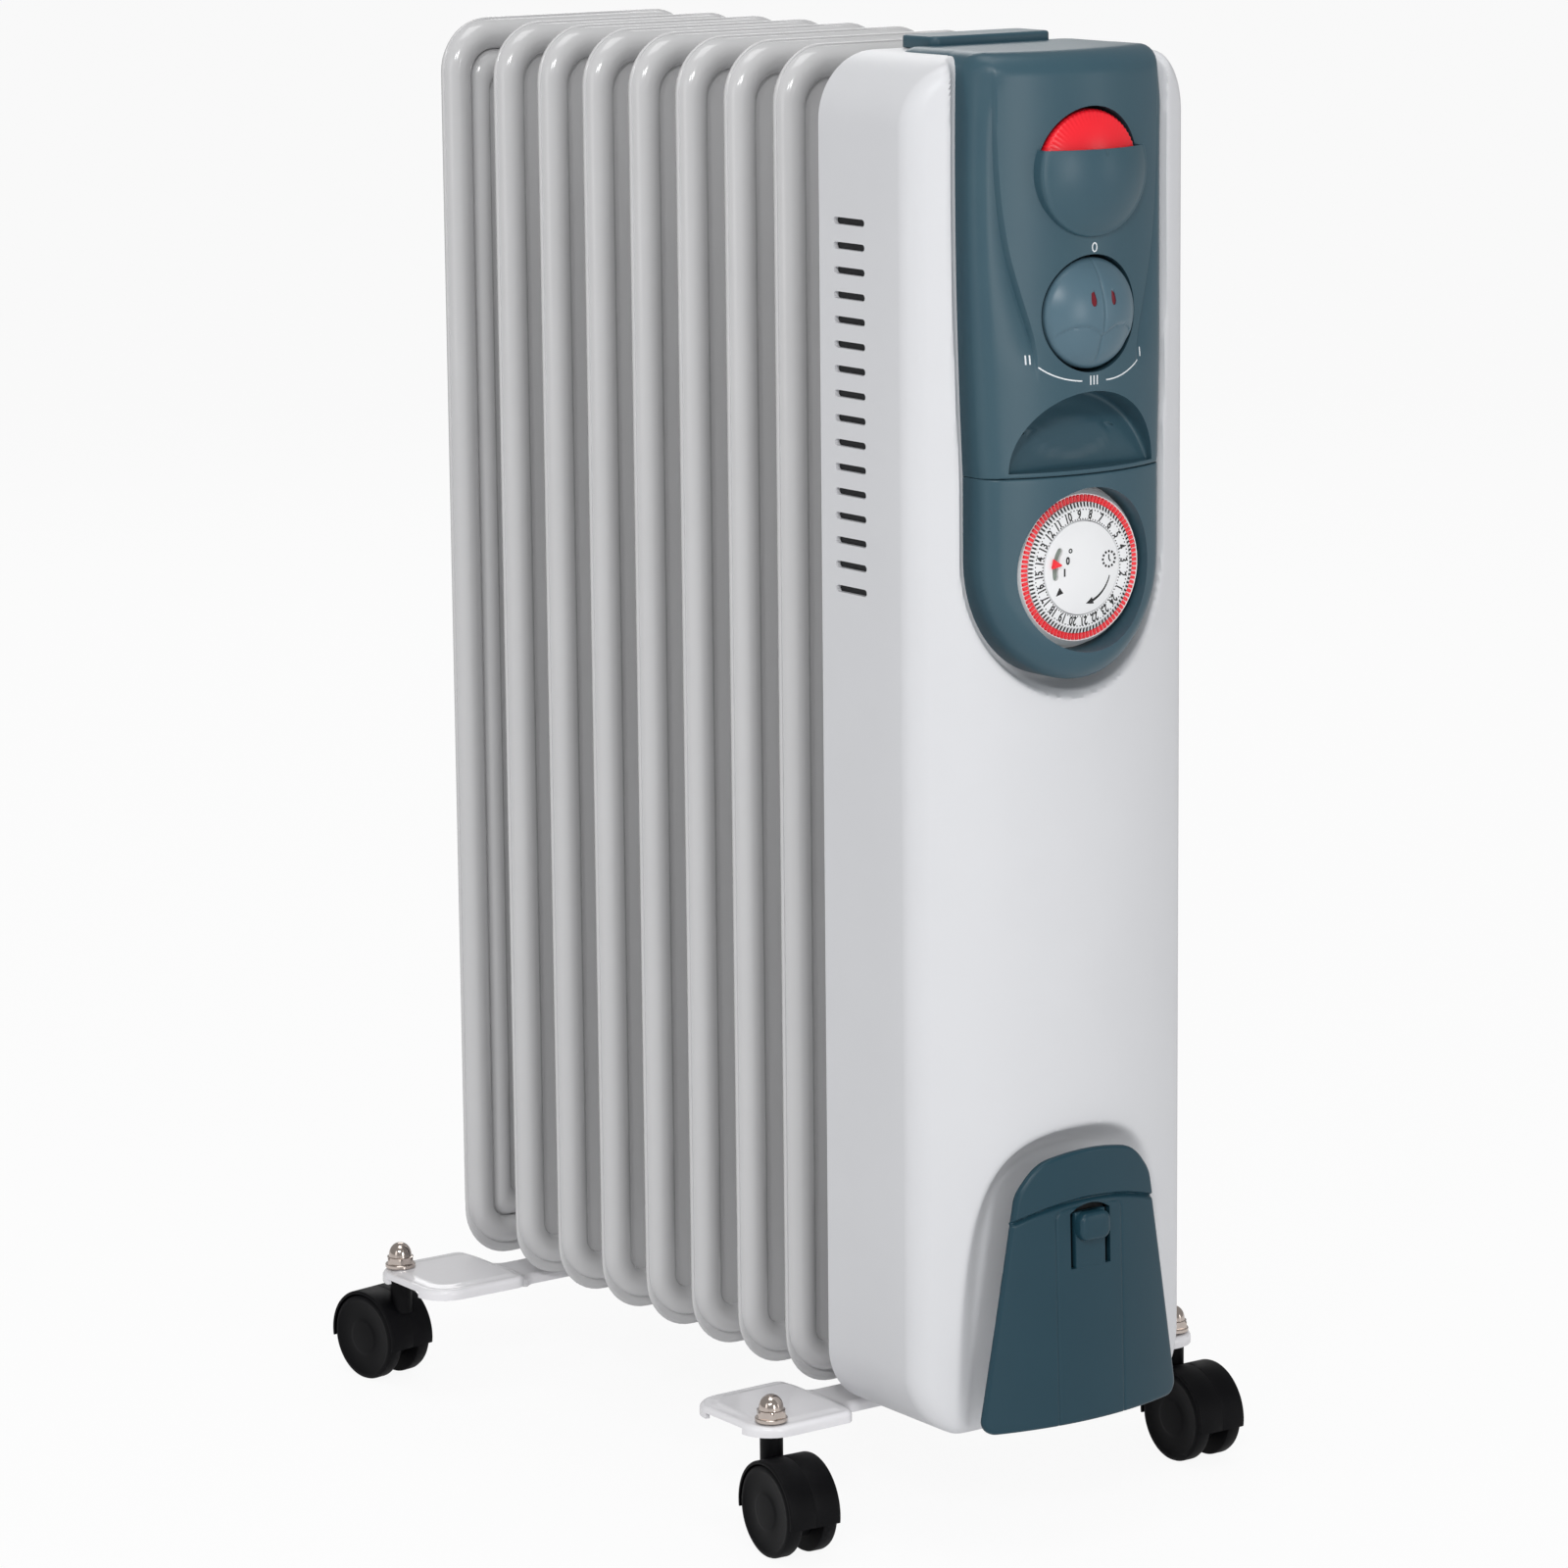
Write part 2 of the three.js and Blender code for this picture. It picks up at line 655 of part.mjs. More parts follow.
// A crowned and leaning slab between two radii about the cord plate's own centre line.
function plateSlab(outerRadius, innerRadius) {
  const centreY = plateFaceY + plateCrownRadius;
  const reach = Math.asin((plateBottomWidth / 2 + hidden) / innerRadius);
  const middle = -Math.PI / 2;
  const shape = new THREE.Shape();
  shape.absarc(0, centreY, outerRadius, middle - reach, middle + reach, false);
  shape.absarc(0, centreY, innerRadius, middle + reach, middle - reach, true);
  const tilt = new THREE.Matrix4().makeTranslation(0, plateFaceY, plateBottomZ)
    .multiply(new THREE.Matrix4().makeRotationX(-plateLean))
    .multiply(new THREE.Matrix4().makeTranslation(0, -plateFaceY, -plateBottomZ));
  return planPrism(shape, plateBottomZ - 2 * hidden, plateTopZ + 2 * hidden, 5)
    .transform(tilt.toArray());
}

function buildHousing() {
  const front = housingCrownY - hidden;
  const cavity = cut(housingBlock(housingWall),
    frontPrism(archOutline(housingWall), front, archFloorY + housingWall, 5),
    fasciaPrism(troughWidth + housingWall, front, troughY + housingWall));
  const neck = cut(
    frontPrism(roundedRect(-neckWidth / 2, neckWidth / 2, neckBottomZ, neckTopZ, neckCornerRadius),
      plateFaceY, archFloorY + housingWall / 2, 2),
    plateSlab(plateCrownRadius + 2 * hidden, plateCrownRadius - plateThickness - gap));
  const trough = fasciaPrism(troughWidth, front, troughY);
  const hole = fasciaPrism(gap, front, fasciaRootY + gap);
  const band = box(-fasciaWidth / 2 - gap, fasciaWidth / 2 + gap, housingEdgeY - hidden,
    housingEdgeY + bandLength + gap, housingTopZ - bandSink - gap, housingTopZ + hidden);
  const glandHole = discY(glandRadius - glandWall, archFloorY - hidden, archFloorY + 2 * hidden,
    glandX, glandZ, 12);
  const vents = [];
  for (let k = 0; k < ventCount; k += 1) {
    vents.push(ventSlot(-1, ventTopZ - k * ventPitch));
    vents.push(ventSlot(1, ventTopZ - k * ventPitch));
  }
  const shell = cut(housingBlock(0), archRecess(), trough, cavity, hole, band, glandHole, ...vents);
  addMesh('front_housing', join(shell, neck), looks.housing);
}

function buildHeatShield() {
  const half = housingInner - gap;
  const sheet = frontPrism(
    roundedRect(-half, half, housingBottomZ + housingWall + gap, housingTopZ - housingWall - gap - bandSink,
      housingCornerRadius - housingWall),
    shieldFrontY, shieldRearY, 3);
  const holes = [lowHubZ, highHubZ].map(
    (z) => discY(hubRadius + gap, shieldFrontY - hidden, shieldRearY + hidden, 0, z, 20));
  addMesh('heat_shield', cut(sheet, ...holes), looks.steel);
}

// ---------------------------------------------------------------- fascias

function fasciaBlock(inset, upper) {
  const half = fasciaWidth / 2 + fasciaBow - inset;
  const rear = fasciaRootY + (inset > gap ? hidden : 0);
  const plan = crownedPlan(half, rear, fasciaEdgeY + inset, fasciaCrown, fasciaEdgeRadius - inset / 2);
  const body = planPrism(plan, fasciaBottomZ - hidden, fasciaTopZ + hidden, 5);
  const front = fasciaCrownY - hidden;
  if (!upper) {
    const toe = roundedRect(fasciaCrownY + inset, rear + 4 * hidden, fasciaBottomZ + inset,
      fasciaSeamZ + 4 * hidden, fasciaToeRadius - inset);
    return body
      .intersect(frontPrism(lowerOutline(-inset, fasciaSeamZ - gap / 2 - inset), front, rear + hidden, 5))
      .intersect(sidePrism(toe, -half - hidden, half + hidden, 3));
  }
  const side = roundedRect(fasciaCrownY + inset, rear + 4 * hidden, fasciaSeamZ - 4 * hidden,
    fasciaTopZ - inset, fasciaTopRadius - inset);
  return body
    .intersect(frontPrism(upperOutline(-inset, fasciaSeamZ + gap / 2 + inset), front, rear + hidden, 4))
    .intersect(sidePrism(side, -half - hidden, half + hidden, 2));
}

// An opening through the fascia's face and the sleeve behind it that the control turns in.
function sleeve(block, radius, z) {
  const wall = discY(radius + fasciaWall, fasciaCrownY - hidden, sleeveRearY, 0, z, 24);
  return wall.intersect(block);
}

const bore = (radius, z) => discY(radius, fasciaCrownY - hidden, sleeveRearY + hidden, 0, z, 24);

// The scooped finger recess above the seam: half an ellipse whose floor slopes in towards its top.
function gripRecess(grow) {
  const low = fasciaSeamZ + gripFromSeam - grow;
  const high = low + gripHeight + 2 * grow;
  const half = gripWidth / 2 + grow;
  const outline = new THREE.Shape();
  outline.moveTo(-half, low);
  outline.lineTo(half, low);
  outline.absellipse(0, low, half, high - low, 0, Math.PI, false, 0);
  const floor = new THREE.Shape();
  floor.moveTo(fasciaCrownY - hidden, low);
  floor.lineTo(fasciaCrownY + gripBottomDepth + grow, low);
  floor.lineTo(fasciaCrownY + gripTopDepth + grow, high);
  floor.lineTo(fasciaCrownY - hidden, high);
  return frontPrism(outline, fasciaCrownY - 2 * hidden, fasciaRootY, 6)
    .intersect(sidePrism(floor, -half - hidden, half + hidden));
}

function buildUpperFascia() {
  const block = fasciaBlock(0, true);
  const cavity = cut(fasciaBlock(fasciaWall, true), gripRecess(fasciaWall));
  const band = box(-fasciaWidth / 2, fasciaWidth / 2, fasciaRootY - 2 * fasciaWall,
    housingEdgeY + bandLength, housingTopZ - bandSink, fasciaTopZ);
  const shell = join(cut(block, cavity), sleeve(block, thermostatOpening, thermostatZ),
    sleeve(block, knobOpening, knobZ), band);
  addMesh('upper_fascia',
    cut(shell, gripRecess(0), bore(thermostatOpening, thermostatZ), bore(knobOpening, knobZ)), looks.fascia);
}

// The slab lies on the rear of the band and steps down behind it onto the housing's top.
function buildTopSlab() {
  const bandRearY = housingEdgeY + bandLength;
  const seatZ = fasciaTopZ + gap;
  const outline = roundedRect(-slabWidth / 2, slabWidth / 2, housingRearY - slabLength, housingRearY,
    slabCornerRadius);
  const step = box(-slabWidth, slabWidth, housingRearY - 2 * slabLength, bandRearY + gap, 0, seatZ);
  addMesh('top_slab', cut(planPrism(outline, housingTopZ + gap, seatZ + slabHeight, 2), step), looks.fascia);
}

function buildTimerFascia() {
  const block = fasciaBlock(0, false);
  const shell = join(cut(block, fasciaBlock(fasciaWall, false)), sleeve(block, timerOpening, timerZ));
  addMesh('timer_fascia', cut(shell, bore(timerOpening, timerZ)), looks.fascia);
}

// ---------------------------------------------------------------- thermostat and power switch

// A control's fixed body: a round flange on its sleeve, a block behind and a spindle in front.
function controlBody(openingRadius, z, spindleTipY) {
  const seat = sleeveRearY + gap;
  const flange = discY(openingRadius + fasciaWall, seat, seat + flangeThickness, 0, z, 24);
  const half = switchSize / 2;
  const block = box(-half, half, seat + flangeThickness / 2, seat + switchDepth, z - half, z + half);
  const spindle = discY(spindleRadius, spindleTipY, seat + flangeThickness / 2, 0, z, 12);
  return join(flange, block, spindle);
}

// A turned control with a domed face, and a blind bore from behind for its spindle.
function turnedControl(radius, rimY, dome, z, boreTipY) {
  const rearY = sleeveRearY - runGap;
  const profile = [[0, -rearY], [radius, -rearY], ...domePoints(radius, -rimY, dome, 4)];
  const body = turnedForward(profile, 24);
  const spindleBore = discY(spindleRadius + gap, boreTipY, rearY + hidden, 0, z, 12);
  return cut(body.translate([0, 0, z]), spindleBore);
}

function buildThermostat() {
  const rimY = fasciaCrownY + thermostatSetback;
  addMesh('thermostat_body', controlBody(thermostatOpening, thermostatZ, rimY + gap), looks.black);
  const dial = turnedControl(thermostatRadius, rimY, thermostatDome, thermostatZ, rimY);
  addMesh('thermostat_dial', dial, looks.red);
  const baseY = fasciaCrownY + sleeveDepth / 2;
  const rim = -fasciaCrownY + coverSkirt;
  const innerRadius = coverRadius - coverWall;
  const outer = turnedForward([[0, -baseY], [coverRadius, -baseY],
    ...domePoints(coverRadius, rim, coverHeight, 4)], 24);
  const inner = turnedForward([[0, -baseY - hidden], [innerRadius, -baseY - hidden],
    ...domePoints(innerRadius, rim, coverHeight - coverWall, 4)], 24);
  const aboveZ = thermostatZ + coverCutHeight;
  const above = box(-2 * coverRadius, 2 * coverRadius, fasciaCrownY - 4 * hidden, fasciaRootY,
    aboveZ, aboveZ + 2 * coverRadius);
  const cover = cut(outer, inner).translate([0, 0, thermostatZ]);
  addMesh('thermostat_cover', cut(cover, above, fasciaBlock(-gap, true)), looks.fascia);
}

// Two neon windows in the knob's face, moulded as one piece with a bar behind them.
function lensSolid(grow) {
  const frontY = fasciaCrownY - knobRise - knobDome - hidden;
  const rearY = fasciaCrownY - knobRise + lensDepth + grow;
  const low = knobZ + lensAboveCentre - lensHeight / 2 - grow;
  const high = low + lensHeight + 2 * grow;
  const w = lensWidth / 2 + grow;
  const x = lensSpacing / 2;
  const prongs = [-x, x].map((at) => box(at - w, at + w, frontY, rearY, low, high));
  return join(...prongs, box(-x, x, rearY - lensWidth - 2 * grow, rearY, low, high));
}

function buildPowerSwitch() {
  const rimY = fasciaCrownY - knobRise;
  const boreTipY = rimY + lensDepth + spindleRadius;
  addMesh('power_switch_body', controlBody(knobOpening, knobZ, boreTipY + gap), looks.black);
  const knob = turnedControl(knobRadius, rimY, knobDome, knobZ, boreTipY);
  addMesh('power_knob', cut(knob, lensSolid(gap)), looks.fascia);
  addMesh('neon_lens', lensSolid(0).intersect(knob), looks.lens);
}

// ---------------------------------------------------------------- timer

function buildTimer() {
  const seat = sleeveRearY + gap;
  const dialRearY = timerFaceY + timerDialThickness;
  const flange = discY(timerOpening + fasciaWall, seat, seat + flangeThickness, 0, timerZ, 24);
  const drum = discY(timerRadius - timerDrumInset, dialRearY + runGap, seat + flangeThickness, 0, timerZ, 24);
  const works = discY(timerRadius - timerWorksInset, seat, seat + timerBodyDepth, 0, timerZ, 16);
  const stubHole = discY(centreStub + gap, dialRearY, seat, 0, timerZ, 12);
  addMesh('timer_body', cut(join(flange, drum, works), stubHole), looks.white);

  const centreSeatY = timerFaceY - gap;
  const dial = discY(timerRadius, timerFaceY, dialRearY, 0, timerZ, 32);
  const ringSeat = cut(
    discY(tabRingOuter + gap, timerFaceY - hidden, timerFaceY + tabRingSink, 0, timerZ, 32),
    discY(tabRingInner - gap, timerFaceY - 2 * hidden, dialRearY, 0, timerZ, 32));
  const dialBore = discY(centreStub + runGap, timerFaceY - hidden, dialRearY + hidden, 0, timerZ, 16);
  const figureRing = discY(tabRingInner - figureRingEdge, timerFaceY - figureRingHeight,
    timerFaceY + tabRingSink, 0, timerZ, 32);
  const centreSeat = discY(centreRadius + runGap, timerFaceY - hidden, timerFaceY, 0, timerZ, 32);
  addMesh('timer_dial', cut(join(cut(dial, ringSeat), figureRing), centreSeat, dialBore), looks.white);
  const ringRearY = timerFaceY + tabRingSink - gap;
  addMesh('timer_tab_ring', cut(
    discY(tabRingOuter, ringRearY - tabRingHeight, ringRearY, 0, timerZ, 32),
    discY(tabRingInner, ringRearY - tabRingHeight - hidden, ringRearY + hidden, 0, timerZ, 32)), looks.red);

  const centre = discY(centreRadius, centreSeatY - centreHeight, centreSeatY, 0, timerZ, 32);
  const stub = discY(centreStub, centreSeatY - centreHeight / 2, seat - gap, 0, timerZ, 12);
  addMesh('timer_centre_disc', join(centre, stub), looks.white);

  const leverY = centreSeatY - centreHeight - gap;
  const lever = new THREE.Shape();
  lever.moveTo(-overrideRadius - overrideSize / 2, overrideSize / 2);
  lever.lineTo(-overrideRadius - overrideSize / 2, -overrideSize / 2);
  lever.lineTo(-overrideRadius + overrideSize / 2, 0);
  const turned = frontPrism(lever, leverY - overrideHeight, leverY).rotate([0, overrideTurn, 0]);
  addMesh('timer_override_switch', turned.translate([0, 0, timerZ]), looks.red);
}

// ---------------------------------------------------------------- cord winding place

function plateOutline() {
  const low = plateBottomWidth / 2;
  const high = plateTopWidth / 2;
  const a = plateBottomRadius;
  const b = plateTopRadius;
  const lean = (low - high) / (plateTopZ - plateBottomZ);
  const shape = new THREE.Shape();
  shape.moveTo(low - a, plateBottomZ);
  shape.quadraticCurveTo(low, plateBottomZ, low - lean * a, plateBottomZ + a);
  shape.lineTo(high + lean * b, plateTopZ - b);
  shape.quadraticCurveTo(high, plateTopZ, high - b, plateTopZ);
  shape.quadraticCurveTo(0, plateTopZ + 2 * plateTopRise, -high + b, plateTopZ);
  shape.quadraticCurveTo(-high, plateTopZ, -high - lean * b, plateTopZ - b);
  shape.lineTo(-low + lean * a, plateBottomZ + a);
  shape.quadraticCurveTo(-low, plateBottomZ, -low + a, plateBottomZ);
  return shape;
}

function buildCordPlate() {
  const front = plateFaceY - 2 * hidden;
  const rear = archFloorY;
  const slab = plateSlab(plateCrownRadius, plateCrownRadius - plateThickness);
  const plate = frontPrism(plateOutline(), front, rear, 6).intersect(slab);
  const half = tongueWidth / 2;
  const wide = half + tongueSlot;
  const opening = new THREE.Shape();
  opening.moveTo(-wide, tongueBottomZ);
  opening.lineTo(wide, tongueBottomZ);
  opening.lineTo(wide, tongueTopZ);
  opening.quadraticCurveTo(0, tongueTopZ + 2 * openingRise, -wide, tongueTopZ);
  addMesh('cord_plate', cut(plate, frontPrism(opening, front, rear, 6)), looks.fascia);
  const strip = frontPrism(roundedRect(-half, half, tongueBottomZ + gap, tongueTopZ, tongueCornerRadius),
    front, rear, 2).intersect(slab);
  const raised = plateSlab(plateCrownRadius + tonguePadRise, plateCrownRadius - plateThickness / 2);
  const pad = frontPrism(
    roundedRect(-half, half, tongueTopZ - tonguePadHeight, tongueTopZ, tongueCornerRadius),
    front, rear, 2).intersect(raised);
  addMesh('latch_tongue', join(strip, pad), looks.fascia);
}

function buildCordGland() {
  const face = -archFloorY;
  const shank = glandRadius - glandWall - gap;
  const tube = turnedForward([[0, face - housingWall], [shank, face - housingWall], [shank, face + gap],
    [glandRadius, face + gap], [glandRadius - glandDraft, face + glandHeight], [0, face + glandHeight]], 16);
  const through = discY(glandBore, archFloorY - 2 * glandHeight, archFloorY + 2 * housingWall, 0, 0, 12);
  addMesh('cord_gland', cut(tube, through).translate([glandX, 0, glandZ]), looks.black);
}

function buildThermalCutOut() {
  const seat = shieldFrontY - gap;
  const can = discY(cutOutRadius, seat - cutOutHeight, seat, 0, cutOutZ, 16);
  const ears = box(-cutOutEarSpan / 2, cutOutEarSpan / 2, seat - cutOutEarThickness, seat,
    cutOutZ - cutOutEarWidth / 2, cutOutZ + cutOutEarWidth / 2);
  addMesh('thermal_cut_out', join(can, ears), looks.steel);
}

// ---------------------------------------------------------------- feet

// A foot: a pressed tray at each end and a lower, narrower tray between them that the fins stand on.
// outward is 1 for the rear foot and -1 for the front one, whose trays are turned half round.
function buildFoot(name, centreY, outward) {
  const half = footSpread / 2;
  const inner = half - footEndWidth;
  const waistY = footSetForward - outward * waistInward;
  const ends = [-1, 1].map((side) => {
    const x0 = side < 0 ? -half : inner;
    return [x0, x0 + footEndWidth, -footEndLength / 2, footEndLength / 2];
  });
  const front = waistY - footWaist / 2;
  const rear = waistY + footWaist / 2;
  const tray = (r, low, high, inset) => planPrism(
    roundedRect(r[0] + inset, r[1] - inset, r[2] + inset, r[3] - inset, footCornerRadius - inset),
    low, high, 2);
  const lipZ = footEndTopZ - footLip;
  const waistLipZ = footWaistTopZ - footLip;
  const risers = [-1, 1].map((side) => {
    const x0 = side < 0 ? -inner - footSheet : inner;
    return box(x0, x0 + footSheet, front, rear, waistLipZ, footEndTopZ - footSheet / 2);
  });
  const outer = join(...ends.map((r) => tray(r, lipZ, footEndTopZ, 0)), ...risers,
    box(-inner - footSheet, inner + footSheet, front, rear, waistLipZ, footWaistTopZ));
  const under = join(...ends.map((r) => tray(r, lipZ - hidden, footEndTopZ - footSheet, footSheet)),
    box(-inner - 2 * footSheet, inner + 2 * footSheet, front + footSheet, rear - footSheet,
      waistLipZ - hidden, footWaistTopZ - footSheet));
  const holes = [];
  for (const side of [-1, 1]) {
    const top = footEndTopZ + hidden;
    holes.push(post(studRadius + gap, 0, top, (side * stemSpread) / 2, outward * stemFromFoot, 8));
    holes.push(post(boltRadius + gap, 0, top, side * boltX, waistY, 8));
  }
  addMesh(name, cut(outer, under, ...holes).translate([0, centreY, 0]), looks.whiteEnamel);
}

// A solid cylinder about the Z axis.
function post(radius, low, high, x, y, sides = 16) {
  return turnedUp([[0, low], [radius, low], [radius, high], [0, high]], sides).translate([x, y, 0]);
}

function buildHubClamp(name, centreY, outward) {
  const boltY = centreY + footSetForward - outward * waistInward;
  const tipZ = footWaistTopZ - footSheet - wingNutHeight - 2 * boltRadius;
  const points = [new THREE.Vector3(-boltX, 0, tipZ), new THREE.Vector3(-boltX, 0, lowHubZ)];
  for (let k = 1; k <= boltBendSteps; k += 1) {
    const a = Math.PI * (1 - k / boltBendSteps);
    points.push(new THREE.Vector3(boltX * Math.cos(a), 0, lowHubZ + boltX * Math.sin(a)));
  }
  points.push(new THREE.Vector3(boltX, 0, tipZ));
  const section = new THREE.Shape();
  section.absarc(0, 0, boltRadius, 0, Math.PI * 2, false);
  addMesh(`${name}_u_bolt`, sweep(section, points), looks.steel, [0, boltY, 0]);
  for (const [side, label] of [[-1, 'left'], [1, 'right']]) {
    const top = footWaistTopZ - footSheet - gap;
    const hub = post(wingNutRadius, top - wingNutHeight, top, 0, 0, 8);
    const wings = box(-wingSpan / 2, wingSpan / 2, -wingThickness / 2, wingThickness / 2,
      top - wingNutHeight - wingDrop, top - wingDrop);
    const bolt = post(boltRadius + gap, 0, top + hidden, 0, 0, 8);
    addMesh(`${name}_wing_nut_${label}`, cut(join(hub, wings), bolt), looks.steel,
      [side * boltX, boltY, 0], THREE.MathUtils.degToRad(wingTurn));
  }
}

// ---------------------------------------------------------------- casters

// Everything in a caster is drawn about its stem: the axle lies along X, trailing towards -Y.
function forkSolid() {
  const from = -THREE.MathUtils.degToRad(hoodBelowAxle);
  const ring = new THREE.Shape();
  ring.absarc(-casterTrail, wheelRadius, hoodRadius, from, Math.PI - from, false);
  ring.absarc(-casterTrail, wheelRadius, hoodRadius - hoodWall, Math.PI - from, from, true);
  const hood = sidePrism(ring, -casterWidth / 2, casterWidth / 2, 6);
  const middle = casterWidth / 2 - wheelWidth - runGap;
  const half = new THREE.Shape();
  half.absarc(-casterTrail, wheelRadius, hoodRadius - hoodWall / 2, 0, Math.PI, false);
  const hub = new THREE.Shape();
  hub.absarc(-casterTrail, wheelRadius, webRadius, 0, Math.PI * 2, false);
  const web = join(sidePrism(half, -middle, middle, 5), sidePrism(hub, -middle, middle, 5));
  const seat = footEndTopZ - footSheet - gap;
  const stem = post(stemRadius, wheelRadius + webRadius, seat, 0, 0, 12);
  const stud = post(studRadius, seat - studRoot, footEndTopZ + studReach, 0, 0, 8);
  const axleBore = sideDisc(axleRadius + gap, -casterWidth, casterWidth, 8);
  return cut(join(hood, web, stem.subtract(wheelSpace()), stud), axleBore);
}

// A solid cylinder about a caster's axle from x = left to x = right.
function sideDisc(radius, left, right, sides = 24) {
  const geometry = new THREE.CylinderGeometry(radius, radius, right - left, sides);
  geometry.rotateZ(-Math.PI / 2);
  geometry.translate((left + right) / 2, -casterTrail, wheelRadius);
  return toSolid(geometry);
}

// The room that the two wheels turn in.
function wheelSpace() {
  const middle = casterWidth / 2 - wheelWidth - runGap;
  const room = wheelRadius + runGap;
  return join(sideDisc(room, -casterWidth, -middle), sideDisc(room, middle, casterWidth));
}

function wheelSolid(side) {
  const r = wheelRadius;
  const w = wheelWidth;
  const c = wheelRimRound;
  const profile = [[0, 0], [r, 0], [r, w - c], [r - c, w], [0, w]];
  const geometry = new THREE.LatheGeometry(profile.map(([a, b]) => new THREE.Vector2(a, b)), 24);
  geometry.rotateZ(-Math.PI / 2);
  if (side < 0) {
    geometry.rotateZ(Math.PI);
  }
  const inner = casterWidth / 2 - wheelWidth;
  geometry.translate(side * inner, -casterTrail, wheelRadius);
  const reach = side * (inner + axleGrip + gap);
  const boreSolid = sideDisc(axleRadius + gap, Math.min(0, reach), Math.max(0, reach), 8);
  return cut(toSolid(geometry), boreSolid);
}

function acornNut() {
  const seat = footEndTopZ + gap;
  const flangeTop = seat + nutFlangeHeight;
  const dome = domePoints(nutRadius, seat + nutHeight - nutRadius, nutRadius, 3);
  const profile = [[0, seat], [nutFlangeRadius, seat], [nutFlangeRadius, flangeTop],
    [nutRadius, flangeTop + nutShoulder], ...dome];
  return cut(turnedUp(profile, 12), post(studRadius + gap, 0, footEndTopZ + studReach + gap, 0, 0, 8));
}

function buildCaster(corner, centreY, outward, side) {
  const place = [(side * stemSpread) / 2, centreY + outward * stemFromFoot, 0];
  const heading = THREE.MathUtils.degToRad(casterHeadings[corner]);
  const grip = casterWidth / 2 - wheelWidth + axleGrip;
  addMesh(`caster_fork_${corner}`, forkSolid(), looks.black, place, heading);
  addMesh(`caster_axle_${corner}`, sideDisc(axleRadius, -grip, grip, 8), looks.steel, place, heading);
  addMesh(`caster_wheel_${corner}_a`, wheelSolid(-1), looks.black, place, heading);
  addMesh(`caster_wheel_${corner}_b`, wheelSolid(1), looks.black, place, heading);
  addMesh(`caster_nut_${corner}`, acornNut(), looks.nickel, place);
}

// ---------------------------------------------------------------- the whole heater

buildFins();
buildHubPlugs();
buildHeatingElement();
buildHousing();
buildHeatShield();
buildUpperFascia();
buildTopSlab();
buildTimerFascia();
buildThermostat();
buildPowerSwitch();
buildTimer();
buildCordPlate();
buildCordGland();
buildThermalCutOut();
buildFoot('rear_foot', rearFootY, 1);
buildFoot('front_foot', frontFootY, -1);
buildHubClamp('rear', rearFootY, 1);
buildHubClamp('front', frontFootY, -1);
buildCaster('front_left', frontFootY, -1, -1);
buildCaster('front_right', frontFootY, -1, 1);
buildCaster('rear_left', rearFootY, 1, -1);
buildCaster('rear_right', rearFootY, 1, 1);

export default group;
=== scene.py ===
# Oil filled radiator heater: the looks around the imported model.
# Sizes below are in millimetres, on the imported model's own axes; meshes are put in as metres.
import json
import math
import bmesh
import bpy
import numpy as np
from mathutils import Matrix, Vector


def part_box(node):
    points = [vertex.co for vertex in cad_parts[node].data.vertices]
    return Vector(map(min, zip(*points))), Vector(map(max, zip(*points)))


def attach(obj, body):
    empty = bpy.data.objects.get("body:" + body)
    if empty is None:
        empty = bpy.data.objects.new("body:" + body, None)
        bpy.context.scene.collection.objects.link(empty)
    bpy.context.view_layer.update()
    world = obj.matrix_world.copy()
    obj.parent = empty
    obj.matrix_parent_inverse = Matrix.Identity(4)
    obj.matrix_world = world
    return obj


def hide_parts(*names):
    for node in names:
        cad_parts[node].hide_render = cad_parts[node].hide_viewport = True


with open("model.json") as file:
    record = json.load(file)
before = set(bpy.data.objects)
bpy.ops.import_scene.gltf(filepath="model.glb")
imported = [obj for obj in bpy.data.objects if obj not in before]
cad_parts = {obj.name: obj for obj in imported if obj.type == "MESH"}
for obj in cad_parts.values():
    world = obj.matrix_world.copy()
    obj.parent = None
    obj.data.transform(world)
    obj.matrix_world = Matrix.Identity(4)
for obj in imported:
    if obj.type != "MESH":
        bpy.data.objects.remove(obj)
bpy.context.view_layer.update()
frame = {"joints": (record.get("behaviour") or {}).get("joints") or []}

joints = {joint["name"]: joint for joint in frame["joints"]}


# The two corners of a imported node's box, one or other of them, its middle, and a joint's place, all in
# millimetres.
def corners(node):
    return np.array(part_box(node)) * 1000


def lowCorner(node):
    return corners(node)[0]


def highCorner(node):
    return corners(node)[1]


def middle(node):
    return (lowCorner(node) + highCorner(node)) / 2


def jointPlace(name):
    return np.array(joints[name]["pos_m"]) * 1000


# Surfaces as arrays

# An S curve from 0 to 1: three times the square less twice the cube.
def smooth(t):
    t = np.clip(t, 0, 1)
    return t * t * (3 - 2 * t)


# Shares from 0 to 1 that crowd towards 1, as the sine of a quarter turn.
def crowded(count):
    return np.sin(np.linspace(0, math.pi / 2, count))


# A bow from a to c that leans towards b, at shares t.
def bowed(a, b, c, t):
    return (1 - t) ** 2 * a + 2 * t * (1 - t) * b + t * t * c


# A distance past an edge that starts to count softly, over the given ease.
def eased(past, ease):
    return (past + np.sqrt(past * past + ease ** 2)) / 2


# How far a face falls back at distance d inside its edge: a quarter circle of the given radius.
def roundOff(d, radius):
    s = np.clip(radius - d, 0, radius)
    return radius - np.sqrt(np.maximum(radius * radius - s * s, 0))


# Coordinates put together as points, each of them an array or a single number.
def asPoints(*coordinates):
    return np.stack(np.broadcast_arrays(*coordinates), -1)


